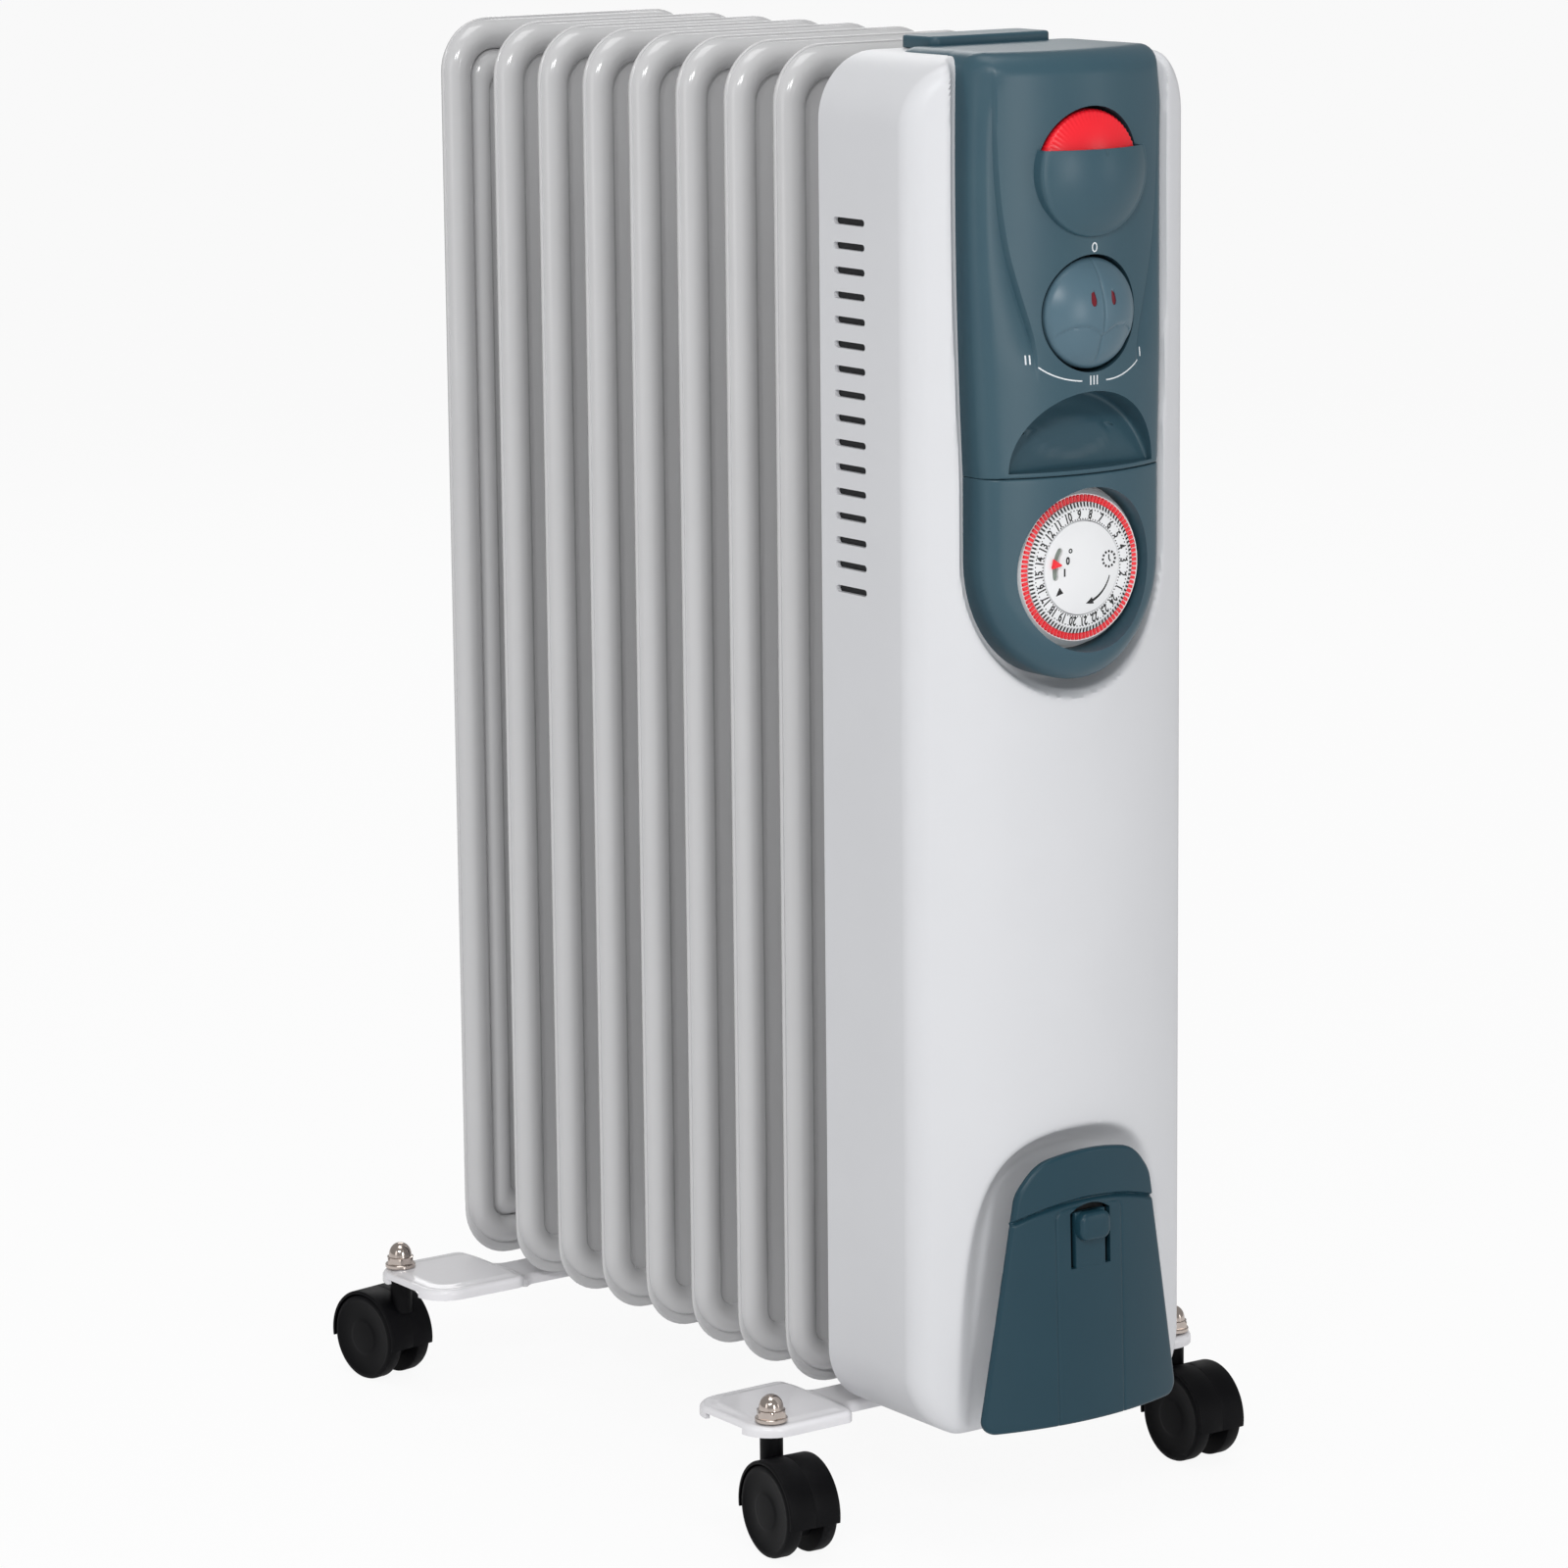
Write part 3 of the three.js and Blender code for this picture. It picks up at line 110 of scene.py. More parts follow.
# Quads between neighbours of a rows by columns grid, closed across either side if asked.
def gridFaces(rows, columns, closeRows=False, closeColumns=False):
    r = np.arange(rows if closeRows else rows - 1)[:, None]
    c = np.arange(columns if closeColumns else columns - 1)[None, :]
    r2 = (r + 1) % rows
    c2 = (c + 1) % columns
    faces = asPoints(r * columns + c, r * columns + c2, r2 * columns + c2, r2 * columns + c)
    return faces.reshape(-1, 4)


def gridPart(points, closeRows=False, closeColumns=False):
    rows, columns = points.shape[:2]
    return points.reshape(-1, 3), gridFaces(rows, columns, closeRows, closeColumns)


# The sides of a polygon of corners, each cut into the same number of steps.
def denseLoop(loop, steps):
    ends = np.roll(loop, -1, 0)
    return np.concatenate([np.linspace(start, end, steps + 1)[:-1] for start, end in zip(loop, ends)])


# Loops of points, one row each, closed by a fan to the middle of the first loop and of the last.
def fanned(loops):
    first, last = (np.broadcast_to(loops[k].mean(0), loops[k].shape) for k in (0, -1))
    return gridPart(np.concatenate([first[None], loops, last[None]]), closeColumns=True)


# An outline of [x, z] points as a solid between two depths.
def prism(outline, yFront, yRear):
    return fanned(np.stack([asPoints(outline[:, 0], y, outline[:, 1]) for y in (yFront, yRear)]))


# Six flats, for the rows of a turned profile that the given test picks.
def hexed(picks):
    def wave(angle, profile):
        flats = math.cos(math.pi / 6) / np.cos((angle % (math.pi / 3)) - math.pi / 6)
        return np.where(picks(profile), flats, 1.0)
    return wave


# A profile of [radius, along] turned about an axis through a point; wave scales the radius by angle and
# row.
def turned(profile, centre, axis="front", sides=64, wave=None):
    profile = np.array(profile, float)
    angle = np.arange(sides) * 2 * math.pi / sides
    radius = np.repeat(profile[:, :1], sides, 1)
    if wave is not None:
        radius = radius * wave(angle[None, :], profile)
    along = np.repeat(profile[:, 1:], sides, 1)
    first = radius * np.cos(angle)
    second = radius * np.sin(angle)
    if axis == "front":
        points = asPoints(first, -along, second)
    elif axis == "up":
        points = asPoints(first, second, along)
    else:
        points = asPoints(along, first, second)
    return gridPart(points + np.array(centre, float), closeColumns=True)


# A section of [across, up] points carried along a path, square to it; both are closed loops if asked.
def carried(section, path, upHint, closePath=False):
    path = np.array(path, float)
    if closePath:
        ahead = np.roll(path, -1, 0) - np.roll(path, 1, 0)
    else:
        ahead = np.gradient(path, axis=0)
    ahead /= np.linalg.norm(ahead, axis=1)[:, None]
    across = np.cross(np.array(upHint, float)[None, :], ahead)
    across /= np.linalg.norm(across, axis=1)[:, None]
    up = np.cross(ahead, across)
    section = np.array(section, float)
    points = (path[:, None, :] + section[None, :, :1] * across[:, None, :]
              + section[None, :, 1:] * up[:, None, :])
    parts = [gridPart(points, closeRows=closePath, closeColumns=True)]
    if not closePath:
        for end, flip in ((0, 1), (-1, -1)):
            ring = points[end]
            cap = np.stack([ring, np.repeat(ring.mean(0)[None, :], len(ring), 0)])[::flip]
            parts.append(gridPart(cap, closeColumns=True))
    return joined(parts)


def circle(radius, sides=16):
    angle = np.arange(sides) * 2 * math.pi / sides
    return asPoints(radius * np.cos(angle), radius * np.sin(angle))


# Parts put together as one part.
def joined(parts):
    points, faces, count = [], [], 0
    for somePoints, someFaces in parts:
        points.append(somePoints)
        faces.append(someFaces + count)
        count += len(somePoints)
    return np.concatenate(points), np.concatenate(faces)


# Distance inside a closed outline of [x, z] points: positive inside it, negative outside.
def insideOutline(x, z, outline):
    shape = x.shape
    px, pz = x.reshape(-1, 1), z.reshape(-1, 1)
    ax, az = outline[None, :, 0], outline[None, :, 1]
    bx, bz = np.roll(ax, -1, 1), np.roll(az, -1, 1)
    dx, dz = bx - ax, bz - az
    t = np.clip(((px - ax) * dx + (pz - az) * dz) / (dx * dx + dz * dz + 1e-12), 0, 1)
    away = np.sqrt(((px - ax - t * dx) ** 2 + (pz - az - t * dz) ** 2).min(1))
    crosses = ((az <= pz) != (bz <= pz)) & (px < ax + (pz - az) * dx / np.where(dz == 0, 1e-12, dz))
    inside = crosses.sum(1) % 2 == 1
    return np.where(inside, away, -away).reshape(shape)


# Rows from low to high in runs of [end, step], so that detail gets fine rows and plain stretches few.
def unevenRows(start, runs):
    rows = [np.array([start])]
    for end, step in runs:
        count = max(1, int(math.ceil((end - start) / step)))
        rows.append(np.linspace(start, end, count + 1)[1:])
        start = end
    return np.concatenate(rows)


# A face over rows z, each from -half to half, with side walls that run back to rear, and flat ends if
# asked. front(x, z) gives the face's y; u is one row of shares of half, or a row of them for each z.
def faceShell(z, half, u, front, rear, steps=6, topCap=True, bottomCap=True):
    x = half[:, None] * np.atleast_2d(u)
    height = np.repeat(z[:, None], x.shape[1], 1)
    y = front(x, height)
    face = asPoints(x, y, height)
    back = np.linspace(0, 1, steps + 1)[1:]

    def wall(edge, shares):
        points = np.repeat(edge[:, None, :], len(shares), 1)
        points[..., 1] += (rear - edge[:, None, 1]) * shares[None, :]
        return points
    grid = np.concatenate([wall(face[:, 0], back[::-1]), face, wall(face[:, -1], back)], 1)
    parts = [gridPart(grid)]
    shares = np.concatenate([[0], back])
    if topCap:
        parts.append(gridPart(np.swapaxes(wall(face[-1], shares), 0, 1)))
    if bottomCap:
        parts.append(gridPart(np.swapaxes(wall(face[0], shares[::-1]), 0, 1)))
    return parts


# A closed slab between two grids of points that share their edges' layout.
def closedSlab(front, rear):
    edge = [np.stack([rear[0], front[0]]), np.stack([front[-1], rear[-1]]),
            np.stack([rear[:, 0], front[:, 0]], 1), np.stack([front[:, -1], rear[:, -1]], 1)]
    return joined([gridPart(front), gridPart(rear[:, ::-1])] + [gridPart(strip) for strip in edge])


# Turns a part round if its faces look away from the front, which is -Y, or from another given direction.
def facing(part, ahead=(0, -1, 0)):
    points, faces = part
    a, b, c = points[faces[:, 0]], points[faces[:, 1]], points[faces[:, 2]]
    look = (np.cross(b - a, c - a) @ np.array(ahead, float)).sum()
    return (points, faces) if look > 0 else (points, faces[:, ::-1])


# Loops of a rounded rectangle, each inset by so much at its own height, closed at the first and last loop.
def roundedStack(halfX, halfY, corner, steps, arc=6):
    inset, height = np.array(steps, float).T
    quarter = np.linspace(0, math.pi / 2, arc)
    angle = np.concatenate([quarter + k * math.pi / 2 for k in range(4)])[None, :]
    signX = np.repeat([1, -1, -1, 1], arc)[None, :]
    signY = np.repeat([1, 1, -1, -1], arc)[None, :]
    r = np.maximum(corner - inset, 0.05)[:, None]
    x = signX * (halfX - inset[:, None] - r) + r * np.cos(angle)
    y = signY * (halfY - inset[:, None] - r) + r * np.sin(angle)
    grid = asPoints(x, y, np.repeat(height[:, None], x.shape[1], 1))
    return fanned(grid)


# A part built up along z is laid on its back, so that its height points out of the front.
def laidFront(part, place):
    points, faces = part
    return asPoints(points[:, 0], -points[:, 2], points[:, 1]) + np.array(place, float), faces


# A line of marking ink along [x, z] points on a surface y(x, z), as a thin closed strip.
def inkLine(path, width, surface, lift=0.06):
    path = np.array(path, float)
    ahead = np.gradient(path, axis=0)
    ahead /= np.linalg.norm(ahead, axis=1)[:, None]
    aside = asPoints(-ahead[:, 1], ahead[:, 0])
    width = np.broadcast_to(np.array(width, float), (len(path),))[:, None, None]
    flat = path[:, None, :] + aside[:, None, :] * width * np.array([0.5, 0, -0.5])[None, :, None]
    y = surface(flat[..., 0], flat[..., 1])
    front = asPoints(flat[..., 0], y - lift, flat[..., 1])
    rear = asPoints(flat[..., 0], y + lift, flat[..., 1])
    return closedSlab(front, rear)


# A number or letter as a thin solid, on a surface y(x, z), with its middle at a place and its top turned.
def inkText(text, height, place, turn, surface, narrow, bold=0.0, lift=0.06):
    capShare = 0.7                     # a capital's height as a share of the font's size
    curve = bpy.data.curves.new("figure", "FONT")
    curve.body = text
    curve.size = height / capShare
    curve.extrude = 0.5
    curve.offset = bold * curve.size
    curve.resolution_u = 4
    curve.align_x = "CENTER"
    curve.align_y = "CENTER"
    holder = bpy.data.objects.new("figure", curve)
    bpy.context.scene.collection.objects.link(holder)
    mesh = bpy.data.meshes.new_from_object(holder)
    work = bmesh.new()
    work.from_mesh(mesh)
    bmesh.ops.triangulate(work, faces=work.faces)
    points = np.array([v.co[:] for v in work.verts])
    faces = np.array([[v.index for v in face.verts] for face in work.faces])
    work.free()
    bpy.data.objects.remove(holder)
    across, up = points[:, 0] * narrow, points[:, 1]
    c, s = math.cos(math.radians(turn)), math.sin(math.radians(turn))
    x = place[0] + across * c - up * s
    z = place[1] + across * s + up * c
    return asPoints(x, surface(x, z) - points[:, 2] * 2 * lift, z), faces


# A smooth curve through points, as the running mean of straight lines between them.
def softCurve(points, soften, step=0.5):
    at, value = np.array(points, float).T
    dense = np.arange(at[0], at[-1] + step / 2, step)
    count = int(soften / step)
    window = np.hanning(2 * count + 3)
    line = np.pad(np.interp(dense, at, value), count + 1, mode="edge")
    return dense, np.convolve(line, window / window.sum(), "valid")


# Meshes

# Edges where two faces turn by more than this many degrees stay crisp, and all others are shaded smooth.
def keepCreases(mesh, degrees):
    count = len(mesh.polygons)
    normals = np.empty(count * 3)
    mesh.polygons.foreach_get("normal", normals)
    normals = normals.reshape(-1, 3)
    loopEdge = np.empty(len(mesh.loops), int)
    mesh.loops.foreach_get("edge_index", loopEdge)
    loopTotal = np.empty(count, int)
    mesh.polygons.foreach_get("loop_total", loopTotal)
    loopFace = np.repeat(np.arange(count), loopTotal)
    order = np.argsort(loopEdge, kind="stable")
    edge, face = loopEdge[order], loopFace[order]
    pair = np.flatnonzero(edge[1:] == edge[:-1])
    turn = (normals[face[pair]] * normals[face[pair + 1]]).sum(1)
    sharp = np.zeros(len(mesh.edges), bool)
    sharp[edge[pair]] = turn < math.cos(math.radians(degrees))
    crease = mesh.attributes.get("sharp_edge") or mesh.attributes.new("sharp_edge", "BOOLEAN", "EDGE")
    crease.data.foreach_set("value", sharp)
    mesh.polygons.foreach_set("use_smooth", np.ones(count, bool))
    mesh.update()


# A mesh object in metres from millimetre parts; closed parts get their faces turned outwards.
def newMesh(name, parts, closed=True):
    points, faces = joined(parts) if isinstance(parts, list) else parts
    mesh = bpy.data.meshes.new(name)
    mesh.from_pydata((points / 1000).tolist(), [], faces.tolist())
    work = bmesh.new()
    work.from_mesh(mesh)
    bmesh.ops.remove_doubles(work, verts=work.verts, dist=1e-6)
    bmesh.ops.dissolve_degenerate(work, dist=1e-7, edges=work.edges)
    loose = [v for v in work.verts if not v.link_faces]
    bmesh.ops.delete(work, geom=loose, context="VERTS")
    if closed:
        bmesh.ops.recalc_face_normals(work, faces=work.faces)
    work.to_mesh(mesh)
    work.free()
    piece = bpy.data.objects.new(name, mesh)
    bpy.context.scene.collection.objects.link(piece)
    return piece


# The piece's modifiers become its mesh.
def settle(piece):
    graph = bpy.context.evaluated_depsgraph_get()
    mesh = bpy.data.meshes.new_from_object(piece.evaluated_get(graph))
    piece.modifiers.clear()
    piece.data = mesh
    return piece


# A sheet gets a wall behind it.
def thicken(piece, thickness):
    wall = piece.modifiers.new("wall", "SOLIDIFY")
    wall.thickness = thickness / 1000
    wall.offset = -1
    return settle(piece)


# Cuts the space of other parts out of a piece.
def carve(piece, parts, folds=False):
    cutter = newMesh("cutter", parts)
    cut = piece.modifiers.new("cut", "BOOLEAN")
    cut.operation = "DIFFERENCE"
    cut.solver = "EXACT"
    cut.use_self = folds               # for a wall thicker than its tightest bend
    cut.object = cutter
    settle(piece)
    bpy.data.objects.remove(cutter)
    return piece


# Gives a piece its finish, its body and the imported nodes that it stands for.
def dress(piece, finish, body, stands=(), creases=40):
    piece.data.materials.clear()
    piece.data.materials.append(finish)
    keepCreases(piece.data, creases)
    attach(piece, body)
    if stands:
        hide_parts(*stands)
    return piece


# Finishes

def linearColour(text):
    srgb = np.array([int(text[k:k + 2], 16) for k in (1, 3, 5)]) / 255
    values = np.where(srgb <= 0.04045, srgb / 12.92, ((srgb + 0.055) / 1.055) ** 2.4)
    return (*values.tolist(), 1.0)


# Adds a shader node with its settings, by attribute or socket name, and its links, by socket name.
def addNode(tree, kind, settings=None, links=None):
    made = tree.nodes.new(kind)
    for key, value in (settings or {}).items():
        if hasattr(made, key):
            setattr(made, key, value)
        else:
            made.inputs[key].default_value = value
    for key, source in (links or {}).items():
        tree.links.new(source, made.inputs[key])
    return made


# A surface whose colour wanders between two near shades, with a fine relief: sizes in millimetres.
def moulded(name, shade, otherShade, roughness, grainSize, grainHeight, patchSize=40, settings=None):
    finish = bpy.data.materials.new(name)
    finish.use_nodes = True
    tree = finish.node_tree
    surface = tree.nodes["Principled BSDF"]
    surface.inputs["Roughness"].default_value = roughness
    for key, value in (settings or {}).items():
        surface.inputs[key].default_value = value
    place = addNode(tree, "ShaderNodeTexCoord")
    patch = addNode(tree, "ShaderNodeTexNoise", {"Scale": 1000 / patchSize, "Detail": 3.0},
                    {"Vector": place.outputs["Object"]})
    tone = addNode(tree, "ShaderNodeMix", {"data_type": "RGBA"}, {"Factor": patch.outputs["Fac"]})
    tone.inputs[6].default_value = linearColour(shade)
    tone.inputs[7].default_value = linearColour(otherShade)
    tree.links.new(tone.outputs[2], surface.inputs["Base Color"])
    grain = addNode(tree, "ShaderNodeTexNoise",
                    {"Scale": 1000 / grainSize, "Detail": 2.0, "Roughness": 0.6},
                    {"Vector": place.outputs["Object"]})
    relief = addNode(tree, "ShaderNodeBump", {"Strength": 1.0, "Distance": grainHeight / 1000},
                     {"Height": grain.outputs["Fac"]})
    tree.links.new(relief.outputs["Normal"], surface.inputs["Normal"])
    return finish


# Stove enamel on pressed steel, sprayed and baked: a glassy skin with a slow orange peel.
finEnamel = moulded("Stove enamel on steel, light grey gloss", "#cfcfd0", "#cacacb", 0.17, 9, 0.035,
                    settings={"Coat Weight": 0.35, "Coat Roughness": 0.12})
footEnamel = moulded("Stove enamel on steel, white gloss", "#f1f0f3", "#ecebee", 0.2, 7, 0.05,
                     settings={"Coat Weight": 0.4, "Coat Roughness": 0.08})
# Powder coat on sheet steel: even and satin, with a pebble of about a millimetre.
housingCoat = moulded("Powder coat on steel, pale grey satin", "#dcdde0", "#d8d9dc", 0.42, 1.6, 0.012)
# ABS moulded in a spark eroded tool: a fine matt grain that softens every highlight.
slateAbs = moulded("ABS, slate teal, spark textured", "#3b5863", "#365361", 0.36, 0.7, 0.02, 25,
                   settings={"Specular IOR Level": 0.35})
knobAbs = moulded("ABS, slate grey, satin moulded", "#54707e", "#4f6a78", 0.34, 1.0, 0.008, 25,
                  settings={"Specular IOR Level": 0.4})
plateAbs = moulded("ABS, slate teal, satin moulded", "#1f404d", "#1c3c49", 0.32, 1.4, 0.01, 25,
                   settings={"Specular IOR Level": 0.3})
redAbs = moulded("ABS, signal red, gloss moulded", "#fc2231", "#f61e2d", 0.28, 2.5, 0.01)
whiteAbs = moulded("ABS, white, satin moulded", "#f3f4f5", "#eff0f2", 0.4, 1.2, 0.006)
# Nylon for wheels and hoods: black, with a waxy broad sheen.
blackNylon = moulded("Nylon, black, satin moulded", "#040406", "#07070a", 0.5, 1.5, 0.02, 12,
                     settings={"Specular IOR Level": 0.12})
darkAbs = moulded("ABS, black, matt moulded", "#101114", "#16171a", 0.6, 1.0, 0.02)
whiteInk = moulded("Pad printed ink, white", "#e9edf0", "#dfe4e8", 0.5, 0.5, 0.003, 4)
blackInk = moulded("Pad printed ink, black", "#08090b", "#0e0f11", 0.5, 0.5, 0.003, 4)
neonGlass = moulded("Polycarbonate lens, dark red, clear", "#7c0f22", "#5c0a19", 0.12, 3, 0.01, 5,
                    settings={"Coat Weight": 0.5, "Coat Roughness": 0.05})
# Plated metals: nickel is bright and a little warm, zinc is bluish and brushed dull.
nickelPlate = moulded("Nickel plate on steel, polished", "#cfc3bb", "#c2b6ae", 0.14, 2.0, 0.004, 3,
                      settings={"Metallic": 1.0})
zincPlate = moulded("Zinc plate on steel, dull", "#a9adb2", "#9a9ea4", 0.36, 0.8, 0.01, 6,
                    settings={"Metallic": 1.0})
# grey green painted shade for the floor of the timer's narrow slot
slotShade = moulded("ABS, grey green, matt moulded", "#8d9890", "#838e86", 0.5, 1.0, 0.01, 6)
print("finishes made")


# Camera, floor and light

view = {"azimuth": -35.38, "elevation": 11.06, "roll": -0.575, "lens": 129.92,
        "place": (-1439.26, -2008.89, 781.02)}


# The camera looks along its azimuth and elevation, in degrees, with a small roll.
def placeCamera():
    turn, rise, roll = (math.radians(view[k]) for k in ("azimuth", "elevation", "roll"))
    ahead = Vector((-math.sin(turn) * math.cos(rise), math.cos(turn) * math.cos(rise), -math.sin(rise)))
    level = Vector((math.cos(turn), math.sin(turn), 0))
    right = level * math.cos(roll) + level.cross(ahead) * math.sin(roll)
    up = right.cross(ahead)
    camera = bpy.data.objects.new("camera", bpy.data.cameras.new("camera"))
    camera.data.lens = view["lens"]
    camera.data.sensor_width = 36
    camera.data.clip_end = 100
    axes = Matrix((right, up, -ahead)).transposed()
    camera.matrix_world = Matrix.Translation(Vector(view["place"]) / 1000) @ axes.to_4x4()
    bpy.context.scene.collection.objects.link(camera)
    bpy.context.scene.camera = camera


placeCamera()

studio = {"floorReach": 40, "floorShown": 0.92, "floorInGloss": 0.3, "floorShade": "#f4f4f5",
          "floorRoughness": 0.9, "floorGloss": 0.1,
          "worldShade": "#ffffff", "worldStrength": 0.36, "backdropShown": 0.955}


# The floor shows near white to the camera, less so in gloss, and keeps a soft share of the shadow.
def layFloor():
    reach = studio["floorReach"]
    mesh = bpy.data.meshes.new("floor")
    mesh.from_pydata([(-reach, -reach, 0), (reach, -reach, 0), (reach, reach, 0), (-reach, reach, 0)],
                     [], [(0, 1, 2, 3)])
    floor = bpy.data.objects.new("floor", mesh)
    bpy.context.scene.collection.objects.link(floor)
    finish = bpy.data.materials.new("Studio paper, matt white")
    finish.use_nodes = True
    tree = finish.node_tree
    paper = tree.nodes["Principled BSDF"]
    paper.inputs["Base Color"].default_value = linearColour(studio["floorShade"])
    paper.inputs["Roughness"].default_value = studio["floorRoughness"]
    paper.inputs["Specular IOR Level"].default_value = studio["floorGloss"]
    ray = addNode(tree, "ShaderNodeLightPath")
    seen = addNode(tree, "ShaderNodeMath", {"operation": "MULTIPLY"})
    seen.inputs[1].default_value = studio["floorShown"]
    tree.links.new(ray.outputs["Is Camera Ray"], seen.inputs[0])
    share = addNode(tree, "ShaderNodeMath", {"operation": "MULTIPLY_ADD"})
    share.inputs[1].default_value = studio["floorInGloss"]
    tree.links.new(ray.outputs["Is Glossy Ray"], share.inputs[0])
    tree.links.new(seen.outputs[0], share.inputs[2])
    white = addNode(tree, "ShaderNodeEmission", {"Strength": 1.0})
    blend = addNode(tree, "ShaderNodeMixShader", None, {"Fac": share.outputs[0]})
    tree.links.new(paper.outputs[0], blend.inputs[1])
    tree.links.new(white.outputs[0], blend.inputs[2])
    tree.links.new(blend.outputs[0], tree.nodes["Material Output"].inputs["Surface"])
    mesh.materials.append(finish)


# Soft boxes: where each stands, what it looks at, its size in metres and its power.
lamps = {
    "keyBox": {"place": (-1.75, -2.3, 2.0), "aim": (0, -0.1, 0.35), "size": (0.26, 0.5), "power": 23},
    "secondKeyBox": {"place": (-2.25, -1.75, 1.9), "aim": (0, -0.1, 0.35), "size": (0.2, 0.5), "power": 9},
    "topBox": {"place": (-0.3, -0.2, 2.7), "aim": (0, 0, 0.3), "size": (1.4, 1.4), "power": 16},
    "leftBox": {"place": (-2.7, -0.5, 0.9), "aim": (0, 0, 0.35), "size": (0.8, 1.6), "power": 5},
    "frontBox": {"place": (-0.25, -2.9, 0.65), "aim": (0, -0.1, 0.4), "size": (0.6, 1.2), "power": 13},
    "sheenBox": {"place": (2.0, -2.6, 0.6), "aim": (0, -0.1, 0.4), "size": (0.5, 1.2), "power": 5},
    "rearBox": {"place": (1.4, 2.4, 1.8), "aim": (0, 0, 0.35), "size": (1.2, 1.2), "power": 10},
}


def lightStudio():
    world = bpy.data.worlds.new("studio")
    bpy.context.scene.world = world
    world.use_nodes = True
    tree = world.node_tree
    sky = tree.nodes["Background"]
    sky.inputs["Color"].default_value = linearColour(studio["worldShade"])
    sky.inputs["Strength"].default_value = studio["worldStrength"]
    # the camera sees a paper white above the horizon, and the part is lit by the dimmer sky alone
    ray = addNode(tree, "ShaderNodeLightPath")
    backdrop = addNode(tree, "ShaderNodeBackground", {"Color": linearColour(studio["worldShade"]),
                                                      "Strength": studio["backdropShown"]})
    blend = addNode(tree, "ShaderNodeMixShader", None, {"Fac": ray.outputs["Is Camera Ray"]})
    tree.links.new(sky.outputs[0], blend.inputs[1])
    tree.links.new(backdrop.outputs[0], blend.inputs[2])
    tree.links.new(blend.outputs[0], tree.nodes["World Output"].inputs["Surface"])
    for name, lamp in lamps.items():
        light = bpy.data.lights.new(name, "AREA")
        light.shape = "RECTANGLE"
        light.size, light.size_y = lamp["size"]
        light.energy = lamp["power"]
        holder = bpy.data.objects.new(name, light)
        holder.location = lamp["place"]
        away = Vector(lamp["place"]) - Vector(lamp["aim"])
        holder.rotation_euler = away.to_track_quat("Z", "Y").to_euler()
        bpy.context.scene.collection.objects.link(holder)
    bpy.context.scene.view_settings.view_transform = "Standard"


layFloor()
lightStudio()
print("camera, floor and light placed")


# Fins

fin = {"hem": 0.85, "hemWidth": 0.9, "lowerHem": 4.1, "tube": 6.8, "web": 0.9,
       "topCorner": (24, 12), "lowCorner": (24, 7.5),       # radius at the edge, and inside the tube
       "bead": 19.3, "beadHalf": 4.8, "beadHeight": 4.8,    # the rear fin's second bead
       "channel": 23, "channelHeight": 3.1, "channelSlope": 7,
       "hub": 18.6, "flare": 10, "flareHeight": 5, "rearHub": 9, "footGap": 44, "pitch": 36,
       "webFrom": 26,                                       # how far in the web's even rows start
       "sideRuns": ((70, 5), (463, 60), (533, 5))}          # steps up a straight side, close at both ends
hubHeights = (middle("lower_oil_plug")[2], middle("upper_oil_plug")[2])


# Rounded rectangles nested inside each other, one row each, all with the same count of points.
def nestedLoops(half, low, high, inset, lift, topRadius, lowRadius):
    wide = np.maximum(half - inset, 0)[:, None]
    bottom, top = (low + inset + lift)[:, None], (high - inset)[:, None]
    rt = np.minimum(topRadius, wide[:, 0])[:, None]
    rb = np.minimum(lowRadius, wide[:, 0])[:, None]
    across = np.linspace(-1, 1, 17)[None, :-1]
    along = (unevenRows(0, fin["sideRuns"]) / fin["sideRuns"][-1][0])[None, :-1]
    quarter = (np.arange(11) / 11 * math.pi / 2)[None, :]
    c, s = np.cos(quarter), np.sin(quarter)
    sideFrom, sideTo = bottom + rb, top - rt
    rise = sideFrom + (sideTo - sideFrom) * along
    drop = sideTo + (sideFrom - sideTo) * along
    flat = np.ones_like(along)
    x = [across * (wide - rb), wide - rb + rb * s, wide * flat, wide - rt + rt * c,
         -across * (wide - rt), -wide + rt - rt * s, -wide * flat, -wide + rb - rb * c]
    z = [bottom + 0 * across, bottom + rb - rb * c, rise, top - rt + rt * s,
         top + 0 * across, top - rt + rt * c, drop, bottom + rb - rb * s]
    return np.concatenate(x, 1), np.concatenate(z, 1)


